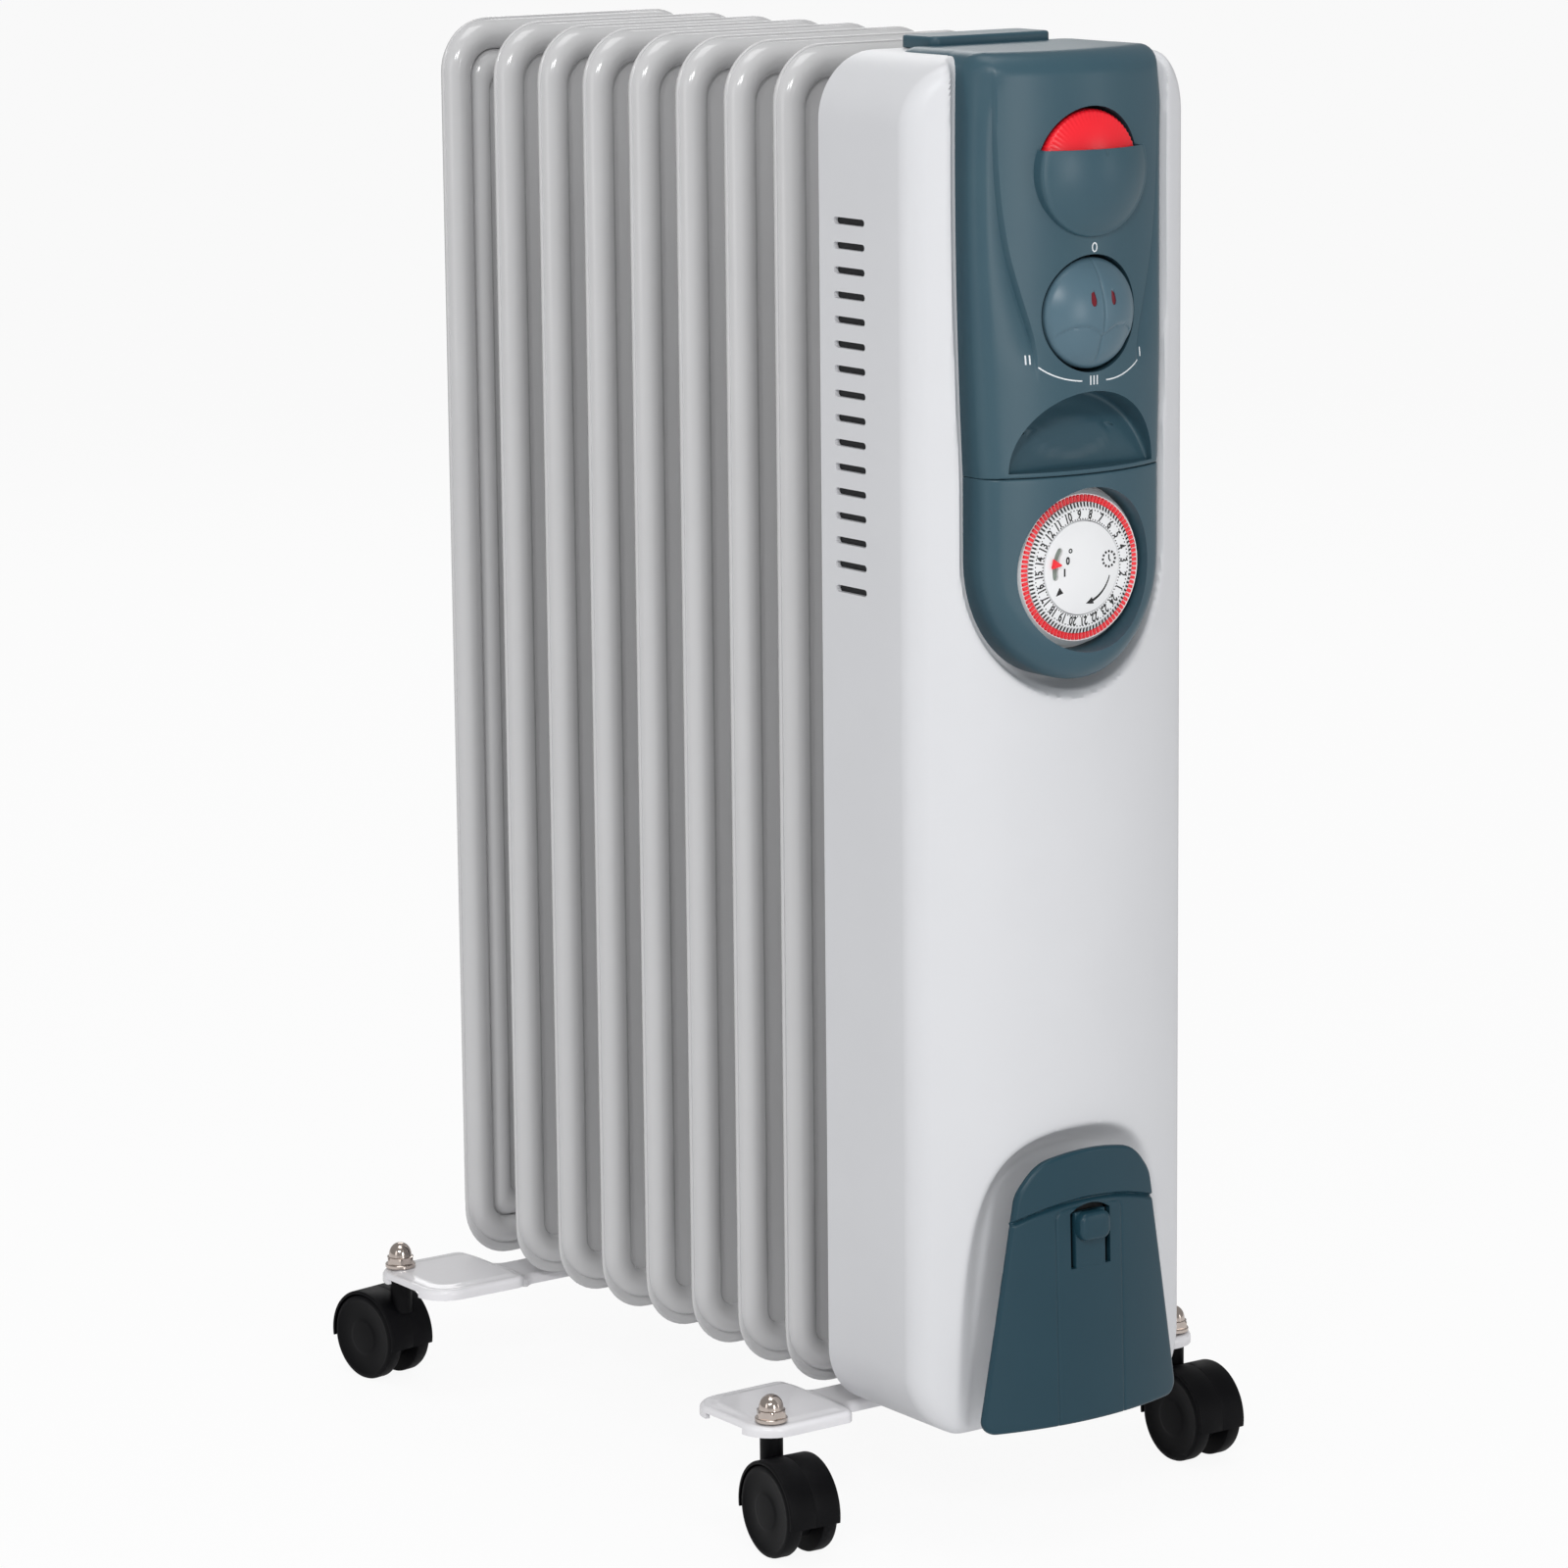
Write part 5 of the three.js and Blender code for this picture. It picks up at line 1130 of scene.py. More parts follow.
# The knob's face: a dome with a fine upright seam, and a lower facet under two arcs that meet at the seam.
def knobFace(x, z):
    up = z - knobPlace[2]
    y = domeY(x, z) + roundOff(controls["knobRim"] - np.hypot(x, up), knob["edge"])
    seam = knob["seam"] * np.exp(-(x / knob["seamWidth"]) ** 2)
    y = y + seam * smooth((up - knob["seamLow"]) / knob["ease"])
    apex, level = knob["apex"]
    below = level - knob["drop"] * ((np.abs(x) - apex) / apex) ** 2 - up
    fade = smooth((knob["facetHalf"] - np.abs(x)) / knob["ease"])
    y = y + knob["seam"] * fade * np.exp(-(below / knob["seamWidth"]) ** 2)
    raised = knob["facet"] * fade * smooth(below / knob["facetEase"])
    return y + raised * (1 - smooth(below / knob["facetFade"]))


# A drop shape, narrow above and round below, as [x, z] points about its middle.
def dropOutline(side, grow=0.0):
    count = 40
    angle = np.arange(count) * 2 * math.pi / count
    up = knob["windowHigh"] * np.cos(angle)
    narrow, wide = knob["windowWide"]
    share = (1 - up / knob["windowHigh"]) / 2
    half = narrow + (wide - narrow) * smooth(share * 1.1) + grow
    half = half * np.sqrt(np.maximum(1 - np.cos(angle) ** 4, 0))
    x, z = side * knob["window"][0], knobPlace[2] + knob["window"][1]
    return asPoints(x + half * np.sign(np.sin(angle)), z + up * (1 + grow / 4))


# The knob: a shell with two drop shaped windows, a plate behind it, and a pane in each window.
def buildKnob():
    radius = controls["knobRim"]
    rear = highCorner("power_knob")[1]
    turn = np.linspace(-math.pi / 2, math.pi / 2, 117)
    rows = knobPlace[2] + radius * np.sin(turn)
    u = np.sin(np.linspace(-math.pi / 2, math.pi / 2, 133))
    parts = faceShell(rows, radius * np.cos(turn), u, knobFace, rear, 3, topCap=False, bottomCap=False)
    piece = thicken(newMesh("power_knob_shell", parts, closed=False), knob["wall"])
    x, up = knob["window"]
    cutters = []
    for side in (-1, 1):
        face = float(domeY(np.array([side * x]), np.array([knobPlace[2] + up]))[0])
        cutters.append(prism(dropOutline(side), cuts["ahead"], face + knob["windowDeep"]))
    carve(piece, cutters)
    dress(piece, knobAbs, "power_knob", ["power_knob"], creases=38)
    inside = radius - 0.02
    back = turned([[0, -rear - 0.2], [inside, -rear - 0.2], [inside, -rear], [0, -rear]],
                  (0, 0, knobPlace[2]), sides=96)
    dress(newMesh("power_knob_back", [back]), darkAbs, "power_knob", creases=40)
    panes = []
    share = np.array([0, 0, 0.25, 0.5, 0.8, 1.0])[:, None]
    for side in (-1, 1):
        outline = dropOutline(side, knob["paneGrow"])
        centre = outline.mean(0)
        loops = centre + (outline - centre) * (1 - share[..., None])
        y = domeY(loops[..., 0], loops[..., 1]) + knob["paneBehind"] - knob["paneBulge"] * smooth(share)
        y[0] += knob["paneThick"]
        panes.append(fanned(asPoints(loops[..., 0], y, loops[..., 1])))
    dress(newMesh("neon_windows", panes), neonGlass, "power_knob", ["neon_lens"], creases=50)


buildKnob()
print("knob built")


# Timer

timer = {"tabs": 96, "tabIn": 27.4, "tabOut": 30.3, "tabFoot": 1.4, "tabDrop": 0.4, "gapUp": 0.3,
         "behindFace": 10,
         "figureRadius": 22.2, "figureHeight": 3.5, "figureNarrow": 0.76, "figureBold": 0.028,
         "zeroTurn": 14.8, "dotRings": (24.3, 20.35),
         "dot": 0.32, "dotLift": 0.05, "tick": (25.2, 27.3, 0.8), "disc": 19.5,
         "slot": (14.0, 146, 191, 3.0), "slotDeep": 1.3, "lever": (4.3, 2.0), "leverTurn": 169}
dialFront = -lowCorner("timer_dial")[1]                  # the figures' raised ring
dialRim = -(faceCrownY + timer["behindFace"])
tabTop = -lowCorner("timer_tab_ring")[1]
discFront = -lowCorner("timer_centre_disc")[1]
dialProfile = [[25.0, dialFront], [25.4, dialFront - 0.12], [25.7, dialFront - 0.4], [27.3, tabTop - 0.1]]


# The dial's printed ring: level where the figures stand, then falling to the tabs.
def dialY(x, z):
    r = np.hypot(x, z - timerPlace[2])
    outline = np.array([[0, dialFront]] + dialProfile)
    return -np.interp(r, outline[:, 0], outline[:, 1])


def discY(x, z):
    return np.full(np.shape(x), -discFront)


# The place at a radius and an angle about the timer's middle, as [x, z].
def ringPlace(radius, degrees):
    turn = math.radians(degrees)
    return radius * math.cos(turn), timerPlace[2] + radius * math.sin(turn)


# The ring of tabs: flat topped blocks with narrow gaps, as a height that steps with the angle.
def tabParts():
    count = timer["tabs"] * 8
    angle = np.arange(count) * 2 * math.pi / count
    block = np.tile([1, 1, 1, 1, 1, 1, 0, 0], timer["tabs"]).astype(float)
    base, gapUp = dialRim - timer["tabFoot"], timer["gapUp"]
    near, far = timer["tabIn"], timer["tabOut"]
    rows = np.array([[near, 0], [near, 0.85], [near + 0.2, 1], [far - 0.35, 1], [far, 0.8], [far, 0]])
    radius, share = rows.T[..., None]
    top = base + gapUp + (tabTop - timer["tabDrop"] - base - gapUp) * block
    along = base + (top - base) * share
    return gridPart(asPoints(radius * np.cos(angle), -along, radius * np.sin(angle) + timerPlace[2]),
                    closeRows=True, closeColumns=True)


# A ring of printed dots on the dial, one for each tab.
def dotParts(radius):
    count, size, lift = timer["tabs"], timer["dot"], timer["dotLift"]
    angle = (np.arange(count) + 0.5) * 2 * math.pi / count
    around = np.arange(8) * 2 * math.pi / 8
    x = radius * np.cos(angle)[:, None] + size * np.cos(around)
    z = timerPlace[2] + radius * np.sin(angle)[:, None] + size * np.sin(around)
    loops = [asPoints(x, dialY(x, z) - up, z) for up in (lift, -lift)]
    return [fanned(dot) for dot in np.stack(loops, 1)]


# The dial with its tabs, and its printed hours, ticks and dots.
def buildTimerDial():
    rear = -highCorner("timer_dial")[1]
    radius, bore = controls["timerRim"], timer["disc"]
    near, far = timer["tabIn"], timer["tabOut"]
    loop = [[bore + 0.35, rear], [bore + 0.35, dialFront - 0.15], [bore + 0.5, dialFront], *dialProfile,
            [near - 0.1, tabTop - 1.1], [far + 0.1, tabTop - 1.1], [far + 0.15, tabTop - 0.75],
            [far + 0.4, tabTop - 0.65], [radius - 0.35, dialRim - 1.9], [radius - 0.05, dialRim - 2.2],
            [radius, dialRim - 2.5], [radius, rear]]
    dial = newMesh("timer_dial_white", [turned(loop + loop[:1], (0, 0, timerPlace[2]), sides=192)])
    dress(dial, whiteAbs, "timer_dial", ["timer_dial"], creases=35)
    tabs = newMesh("timer_tabs", [tabParts()])
    dress(tabs, redAbs, "timer_dial", ["timer_tab_ring"], creases=30)
    figures = []
    for hour in range(1, 25):
        degrees = 180 + (hour - timer["zeroTurn"]) * 15
        figures.append(inkText(str(hour), timer["figureHeight"], ringPlace(timer["figureRadius"], degrees),
                               degrees - 90, dialY, timer["figureNarrow"], timer["figureBold"]))
    dress(newMesh("timer_figures", figures), blackInk, "timer_dial", creases=50)
    marks = []
    inner, outer, width = timer["tick"]
    for number in range(timer["tabs"]):
        degrees = (number + 0.9) * 360 / timer["tabs"]
        path = [ringPlace(r, degrees) for r in np.linspace(inner, outer, 6)]
        marks.append(inkLine(path, width, dialY, 0.04))
    for ring in timer["dotRings"]:
        marks += dotParts(ring)
    dress(newMesh("timer_marks", marks), blackInk, "timer_dial", creases=50)


# The still disc in the middle, with a slot for the lever and a grey floor in it that is painted shade.
def buildTimerDisc():
    z = timerPlace[2]
    rear = -highCorner("timer_centre_disc")[1] + 2
    r = timer["disc"]
    profile = [[0, rear], [3.5, rear], [r, rear], [r, discFront - 0.4], [r - 0.12, discFront - 0.1],
               [r - 0.4, discFront], [0, discFront]]
    disc = newMesh("timer_disc_white", [turned(profile, (0, 0, z), sides=128)])
    ring, start, end, width = timer["slot"]
    turn = np.radians(np.linspace(start, end, 33))
    ends = np.linspace(0, math.pi, 9)[1:-1]
    outer, inner = ((ring + way * width / 2) * asPoints(np.cos(turn), np.sin(turn)) for way in (1, -1))

    def roundEnd(angle, flip):
        out = np.array([math.cos(angle), math.sin(angle)])
        ahead = np.array([-math.sin(angle), math.cos(angle)]) * flip
        return ring * out + width / 2 * (np.cos(ends)[:, None] * out * flip + np.sin(ends)[:, None] * ahead)
    loop = np.concatenate([outer, roundEnd(turn[-1], 1), inner[::-1], roundEnd(turn[0], -1)])
    floorY = -discFront + timer["slotDeep"]
    carve(disc, [prism(loop + [0, z], -discFront - 5, floorY)])
    dress(disc, whiteAbs, "heater", ["timer_centre_disc"], creases=35)
    # a grey sheet on the slot's floor: painted shade in the narrow slot
    shade = newMesh("timer_slot_floor", [prism(loop * 0.999 + [0, z], floorY - 0.06, floorY + 0.2)])
    dress(shade, slotShade, "heater", creases=35)


# The disc's printed marks, as [x, up] from its middle: the lever's two figures, a clock sign with its
# hands, an arrow that bends round to the right, a pointer and a small ring.
discMarks = {"figures": (("0", -7.4, 3.4, 0.05), ("1", -9.1, -1.4, 0.06)),
             "figureHeight": 2.9, "narrow": 0.9,
             "clock": (14.2, 2.4), "clockTicks": (2.7, 3.1, 3.7), "clockTickWide": 0.95,
             "hands": (((0, 1.9), (0, 0.9), (0, 0)), ((0, 0), (0.4, -0.5), (0.8, -1.0))), "handWide": 0.6,
             "arrow": 15.2, "arrowRuns": ((-17, -68, 0.45, 1.1, 30), (-68, -82, 3.0, 0.1, 6)),
             "pointer": (218, 13.7, 17.3, 3.2, 0.1), "spot": (-6.0, 7.6, 0.75, 0.55)}


def printDiscMarks():
    centre = np.array([0, timerPlace[2]])
    words = [inkText(text, discMarks["figureHeight"], centre + [x, up], 0, discY, discMarks["narrow"], bold)
             for text, x, up, bold in discMarks["figures"]]
    dress(newMesh("timer_lever_figures", words), blackInk, "heater", creases=50)
    marks = []
    clock = centre + discMarks["clock"]
    for k in range(12):
        out = np.array([math.cos(k * math.pi / 6), math.sin(k * math.pi / 6)])
        marks.append(inkLine([clock + out * r for r in discMarks["clockTicks"]], discMarks["clockTickWide"],
                             discY))
    for hand in discMarks["hands"]:
        marks.append(inkLine(clock + np.array(hand), discMarks["handWide"], discY))
    for start, end, wideFrom, wideTo, count in discMarks["arrowRuns"]:
        turn = np.radians(np.linspace(start, end, count))
        path = centre + discMarks["arrow"] * asPoints(np.cos(turn), np.sin(turn))
        marks.append(inkLine(path, np.linspace(wideFrom, wideTo, count), discY))
    degrees, near, far, wideFrom, wideTo = discMarks["pointer"]
    tip = [ringPlace(r, degrees) for r in np.linspace(near, far, 6)]
    marks.append(inkLine(tip, np.linspace(wideFrom, wideTo, 6), discY))
    x, up, radius, width = discMarks["spot"]
    turn = np.arange(13) * math.pi / 6
    marks.append(inkLine(centre + [x, up] + radius * asPoints(np.cos(turn), np.sin(turn)), width, discY))
    dress(newMesh("timer_disc_marks", marks), blackInk, "heater", creases=50)


# The override lever: a small red wedge in the slot, which points at the middle of the disc.
def buildOverride():
    low, high = corners("timer_override_switch")
    place = np.array(ringPlace(timer["slot"][0], timer["leverTurn"]))
    turn = math.radians(timer["leverTurn"])
    inward = -np.array([math.cos(turn), math.sin(turn)])
    aside = np.array([-inward[1], inward[0]])
    length, half = timer["lever"]
    wedge = np.array([[-length / 2, -half], [length / 2, -0.25], [length / 2, 0.25], [-length / 2, half]])
    rear, front = -high[1], -low[1]
    loops = []
    for inset, along in ((0, rear), (0, front - 0.4), (0.12, front - 0.1), (0.4, front), (1.0, front)):
        scaled = denseLoop(wedge, 7) * (1 - inset / half)
        flat = place + scaled[:, :1] * inward + scaled[:, 1:] * aside
        loops.append(asPoints(flat[:, 0], -along, flat[:, 1]))
    piece = newMesh("timer_override_lever", [fanned(np.stack(loops))])
    dress(piece, redAbs, "timer_override", ["timer_override_switch"], creases=35)


buildTimerDial()
buildTimerDisc()
printDiscMarks()
buildOverride()
print("timer built")


# Cord plate, tongue and gland

plate = {"low": 54.5, "high": 167, "rise": 5.5, "riseFrom": 110,
         "lowHalf": 53, "highHalf": 34, "lowCorner": 7, "highCorner": 14,
         "crown": 150, "lean": 1.7, "thick": 3, "edge": 1.3,
         "groove": (152.0, 0.0045), "grooveWide": 0.8, "grooveDeep": 1.5, "grooveBelow": 0.9,
         "capProud": 0.5, "capEase": 0.6,
         "strip": (17.5, 147.8, 4), "stripDeep": 0.35, "stripWide": 0.4}
tongue = {"half": 8, "slot": 2.6, "top": 145.8, "low": 121.8, "arch": 3.5, "pad": 12, "padProud": 3.8,
          "pocket": 5.5, "pocketWall": 1.0, "pocketRim": 1.2, "pocketBehind": 1.4, "pocketMargin": 1.2,
          "footRelief": 0.45}
neck = {"half": (29, 22), "corner": 10, "middle": 82, "intoPlate": 2.0}
plateFront = lowCorner("cord_plate")[1]


# The plate's plain front: an arc across, which leans back as it rises.
def plateBase(x, z):
    return (plateFront + plate["crown"] - np.sqrt(plate["crown"] ** 2 - x * x)
            + (z - plate["low"]) * math.tan(math.radians(plate["lean"])))


# Half the plate's width by height: tapering sides, with a rounded corner at each end.
def plateHalf(z):
    t = (z - plate["low"]) / (plate["high"] - plate["low"])
    half = plate["lowHalf"] + (plate["highHalf"] - plate["lowHalf"]) * t
    for edge, corner, way in (("low", plate["lowCorner"], 1), ("high", plate["highCorner"], -1)):
        over = np.maximum(corner - way * (z - plate[edge]), 0)
        half = half - corner + np.sqrt(np.maximum(corner * corner - over * over, 0))
    return half


# The plate's top edge bows up in the middle; rows near it bow with it.
def plateRise(x, row):
    share = smooth((row - plate["riseFrom"]) / (plate["high"] - plate["riseFrom"]))
    return plate["rise"] * share * (1 - np.clip(np.abs(x) / (plate["highHalf"] - 2), 0, 1) ** 2)


# The plate's grid: rows crowd at the corners and at the groove, columns at the strip's edges.
def plateGrid():
    low, high = plate["lowCorner"], plate["highCorner"]
    runs = [(118, 3.2), (138, 0.9), (plate["high"] - high, 0.32)]
    rows = np.concatenate([plate["low"] + low * (1 - crowded(9)[::-1]),
                           unevenRows(plate["low"] + low, runs)[1:],
                           plate["high"] - high + high * crowded(32)[1:]])
    half = plateHalf(rows)
    strip = plate["strip"][0]
    inner = np.concatenate([np.linspace(0, strip - 1.5, 14),
                            strip + np.array([-0.9, -0.45, 0, 0.45, 0.9, 1.5])])
    reach = np.maximum(half, strip + 2)[:, None]
    outer = inner[-1] + (reach - inner[-1]) * crowded(17)[1:]
    x = np.concatenate([np.repeat(inner[None, :], len(rows), 0), outer], 1)
    x = x * (half[:, None] / reach)
    x = np.concatenate([-x[:, :0:-1], x], 1)
    row = np.repeat(rows[:, None], x.shape[1], 1)
    return x, row + plateRise(x, row)


# The plate's face: bevelled round its outline, a cap above an arched groove that stands a little proud,
# and the fine outline of a strip down its middle, rounded at its top.
def plateFace(x, z, outline):
    y = plateBase(x, z)
    inside = np.maximum(insideOutline(x, z, outline), 0)
    level, fall = plate["groove"]
    above = z - (level - fall * x * x)
    y = y + plate["capProud"] * (1 - smooth((above + 0.1) / plate["capEase"]))
    y = y + plate["grooveDeep"] * np.exp(-((above + plate["grooveBelow"]) / plate["grooveWide"]) ** 2)
    half, top, corner = plate["strip"]
    qx, qz = np.abs(x) - (half - corner), z - (top - corner)
    away = np.hypot(np.maximum(qx, 0), np.maximum(qz, 0)) + np.minimum(np.maximum(qx, qz), 0) - corner
    y = y + plate["stripDeep"] * np.exp(-(away / plate["stripWide"]) ** 2) * smooth((-above - 0.5) / 1.0)
    return y + roundOff(inside, plate["edge"])


# A tray drawn as one closed skin: floor, inner walls, rim, outer walls and back, behind the plate's face.
def pocketParts(halfX, middleZ, halfZ):
    deep, wall, rim = tongue["pocket"], tongue["pocketWall"], tongue["pocketRim"]
    square = denseLoop(np.array([[-1, -1], [1, -1], [1, 1], [-1, 1]]), 8)
    loops = []
    for grow, behind in ((None, deep - wall), (0, deep - wall), (0, rim), (wall, rim), (wall, deep),
                         (None, deep)):
        size = [0, 0] if grow is None else [halfX + grow, halfZ + grow]
        x, up = (square * size).T
        y = plateBase(x, middleZ + up) + tongue["pocketBehind"] + behind
        loops.append(asPoints(x, y, middleZ + up))
    return facing(gridPart(np.stack(loops), closeColumns=True))


# The cord plate, with the tongue's opening cut through it.
def buildCordPlate():
    x, z = plateGrid()
    outline = np.concatenate([asPoints(x[0], z[0]), asPoints(x[1:, -1], z[1:, -1]),
                              asPoints(x[-1, ::-1], z[-1, ::-1])[1:],
                              asPoints(x[1:-1, 0], z[1:-1, 0])[::-1]])
    front = asPoints(x, plateFace(x, z, outline), z)
    inside = np.maximum(insideOutline(x, z, outline), 0)
    rear = asPoints(x, plateBase(x, z) + plate["thick"] - roundOff(inside, 0.5), z)
    piece = newMesh("cord_plate_moulding", [closedSlab(front, rear)])
    half, wide, low = tongue["half"], tongue["half"] + tongue["slot"], tongue["low"]
    t = np.linspace(-1, 1, 17)
    top = asPoints(wide * t[::-1], tongue["top"] + tongue["arch"] * (1 - t * t))
    opening = np.concatenate([[[-wide, low], [-half, low], [half, low], [wide, low]], top])
    carve(piece, [prism(opening, cuts["ahead"], cuts["tongue"])])
    dress(piece, plateAbs, "heater", ["cord_plate"], creases=35)


# A shallow black box behind the opening, so that nothing shows through it: painted shade for the hollow
# behind the plate.
def buildPocket():
    margin = tongue["pocketMargin"]
    halfX = tongue["half"] + tongue["slot"] + margin
    low, high = tongue["low"], tongue["top"] + tongue["arch"]
    piece = newMesh("tongue_pocket", [pocketParts(halfX, (low + high) / 2, (high - low) / 2 + margin)])
    # black here stands in for the shade behind the opening
    dress(piece, darkAbs, "heater", creases=40)


# The tongue: a strip that springs from the foot of the opening, with a thumb pad on its end.
def buildTongue():
    half, low, top, proud = (tongue[k] for k in ("half", "low", "top", "padProud"))
    rows = np.concatenate([np.linspace(low + 0.02, top - 0.6, 24), [top]])
    side = half - np.array([0, 0.3, 1, 3, 5.5])
    x, z = np.meshgrid(np.concatenate([-side, [0], side[::-1]]), rows)
    base = plateBase(x, z)
    edge = np.minimum(half - np.abs(x), top - z)
    # the foot is cut back behind the hinge line, which leaves room for it to turn inward
    cutBack = tongue["footRelief"] * (1 - smooth((z - low) / 2.0))
    strip = closedSlab(asPoints(x, base + 0.5 + roundOff(edge, 0.5), z),
                       asPoints(x, base + plate["thick"], z + cutBack))
    steps = [[0, -2], [0, proud - 1.6], [0.25, proud - 0.8], [0.8, proud - 0.25],
             [1.7, proud], [4.5, proud]]
    points, faces = roundedStack(half - 0.02, tongue["pad"] / 2, 4, steps, 9)
    x, z = points[:, 0], top - tongue["pad"] / 2 + points[:, 1]
    pad = (asPoints(x, plateBase(x, z) - points[:, 2], z), faces)
    piece = newMesh("latch_tongue_moulding", [strip, pad])
    dress(piece, plateAbs, "latch_tongue", ["latch_tongue"], creases=40)


# The gland: a stubby tapering nozzle with grip rings round it and a bore for the cord. Its rows are
# [radius, behind the tip].
gland = {"bore": 2.6,
         "rows": ((3.6, 8.2), (7, 8), (7, 6.6), (6.4, 6.3), (6.5, 5.4), (6.1, 5.1), (6.3, 4.2), (5.9, 3.9),
                  (6.1, 3.0), (5.7, 2.7), (5.8, 0.8), (5.2, 0.1), (4.4, 0), (3.2, 0.1), (2.6, 0.8))}


def buildGland():
    place = middle("cord_gland")
    front, rear = -lowCorner("cord_gland")[1], -highCorner("cord_gland")[1]
    bore = [gland["bore"], rear]
    nozzle = [[radius, front - behind] for radius, behind in gland["rows"]]
    loop = [bore, [gland["rows"][0][0], rear], *nozzle, bore]
    piece = newMesh("cord_gland_nozzle", [turned(loop, (place[0], 0, place[2]), sides=48)])
    dress(piece, darkAbs, "heater", ["cord_gland"], creases=40)


# The block that carries the plate, standing on the floor of the arched recess.
def buildNeck():
    floorY = faceCrownY + housing["behindFascia"] + housing["archFloor"]
    reach = floorY - plateFront
    block = roundedStack(*neck["half"], neck["corner"], [[0, -1], [0, reach / 2], [0, reach]], 8)
    points, faces = laidFront(block, (0, floorY, neck["middle"]))
    x, y, z = points.T
    y = np.where(y < plateFront + reach / 4, plateBase(x, z) + neck["intoPlate"], y)
    piece = newMesh("plate_neck", [(asPoints(x, y, z), faces)])
    dress(piece, housingCoat, "heater", creases=40)


buildCordPlate()
buildPocket()
buildTongue()
buildNeck()
buildGland()
print("cord plate built")


# Feet and their clamps

foot = {"half": 121, "trayIn": 70, "trayHalf": 28.5, "waistEnd": 58, "waistHalf": 13, "corner": 15,
        "step": 0.6, "rim": 4.5, "rimEase": 3, "rimFrom": 62, "rimOver": 14, "round": 2.2, "sheet": 2,
        "skirt": 5, "skirtDowns": (0, 1.5, 2.6), "dropAfter": 4, "dropOver": 12, "fineTo": 80}


# A pressed foot: across each row it spans from front to rear about a centre that shifts at the waist; its
# top is level on the trays, drops at the waist, and steps up inside a flat margin.
def footParts(node, bolt):
    low, high = corners(node)
    mid = middle(node)
    waistY = middle(bolt)[1] - mid[1]
    r, waistEnd = foot["corner"], foot["waistEnd"]
    side = np.concatenate([np.linspace(0, waistEnd - 6, 14), np.linspace(waistEnd - 4, foot["fineTo"], 26),
                           np.linspace(foot["fineTo"] + 2, foot["half"] - r, 9),
                           foot["half"] - r + r * crowded(13)[1:]])
    x = np.concatenate([-side[:0:-1], side])
    away = np.abs(x)
    tray = smooth((away - waistEnd) / (foot["trayIn"] + 6 - waistEnd))
    over = np.maximum(away - foot["half"] + r, 0)
    half = foot["waistHalf"] + (foot["trayHalf"] - foot["waistHalf"]) * tray - r
    half = half + np.sqrt(np.maximum(r * r - over * over, 0))
    centre = waistY * (1 - tray)
    drop = high[2] - low[2] - foot["skirt"]
    lift = -drop * (1 - smooth((away - waistEnd - foot["dropAfter"]) / foot["dropOver"]))
    share = np.sin(np.linspace(-math.pi / 2, math.pi / 2, 41))
    y = centre[:, None] + half[:, None] * share[None, :]
    grid = np.repeat(x[:, None], y.shape[1], 1)
    outline = np.concatenate([asPoints(x, centre + half), asPoints(x, centre - half)[::-1]])
    inside = np.maximum(insideOutline(grid, y, outline), 0)
    margin = 1 - smooth((inside - foot["rim"]) / foot["rimEase"])
    margin = margin * smooth((away[:, None] - foot["rimFrom"]) / foot["rimOver"])
    top = high[2] + lift[:, None] - foot["step"] * margin - roundOff(inside, foot["round"])
    upper = asPoints(grid, mid[1] + y, top)
    # the skirt turns straight down from either edge
    near, far = (np.stack([upper[:, column] - [0, 0, down] for down in foot["skirtDowns"]], 1)
                 for column in (0, -1))
    return facing(gridPart(np.concatenate([near[:, :0:-1], upper, far[:, 1:]], 1)), (0, 0, 1))


def buildFoot(node, bolt):
    piece = thicken(newMesh(f"{node}_pressing", footParts(node, bolt), closed=False), foot["sheet"])
    dress(piece, footEnamel, "heater", [node], creases=50)


# The clamp: a round bar bent over the low hub, square to the fins, with a wing nut on each leg.
def buildClamp(name):
    low, high = corners(f"{name}_u_bolt")
    radius = (high[1] - low[1]) / 2
    reach = high[0] - radius
    bendZ = high[2] - radius - reach
    turn = np.linspace(0, math.pi, 33)
    leg = np.linspace(low[2] + 0.6, bendZ, 24)[:-1]
    y = (low[1] + high[1]) / 2
    path = np.concatenate([asPoints(reach, y, leg),
                           asPoints(reach * np.cos(turn), y, bendZ + reach * np.sin(turn)),
                           asPoints(-reach, y, leg[::-1])])
    piece = newMesh(f"{name}_clamp_bar", [carried(circle(radius, 20), path, (0, 1, 0))])
    dress(piece, zincPlate, "heater", [f"{name}_u_bolt"], creases=50)
    for label in ("left", "right"):
        buildWingNut(f"{name}_wing_nut_{label}")


# A wing nut: a turned hub, and a rounded ear that leans up on either side of it.
wingNut = {"turn": 60, "ear": (4.4, 3.2, 2.6), "earOut": 7.2, "earUp": 3.2, "lean": 0.12,
           "earSteps": ((0.5, -1.2), (0, -0.8), (0, 0.8), (0.5, 1.2), (2.5, 1.3))}


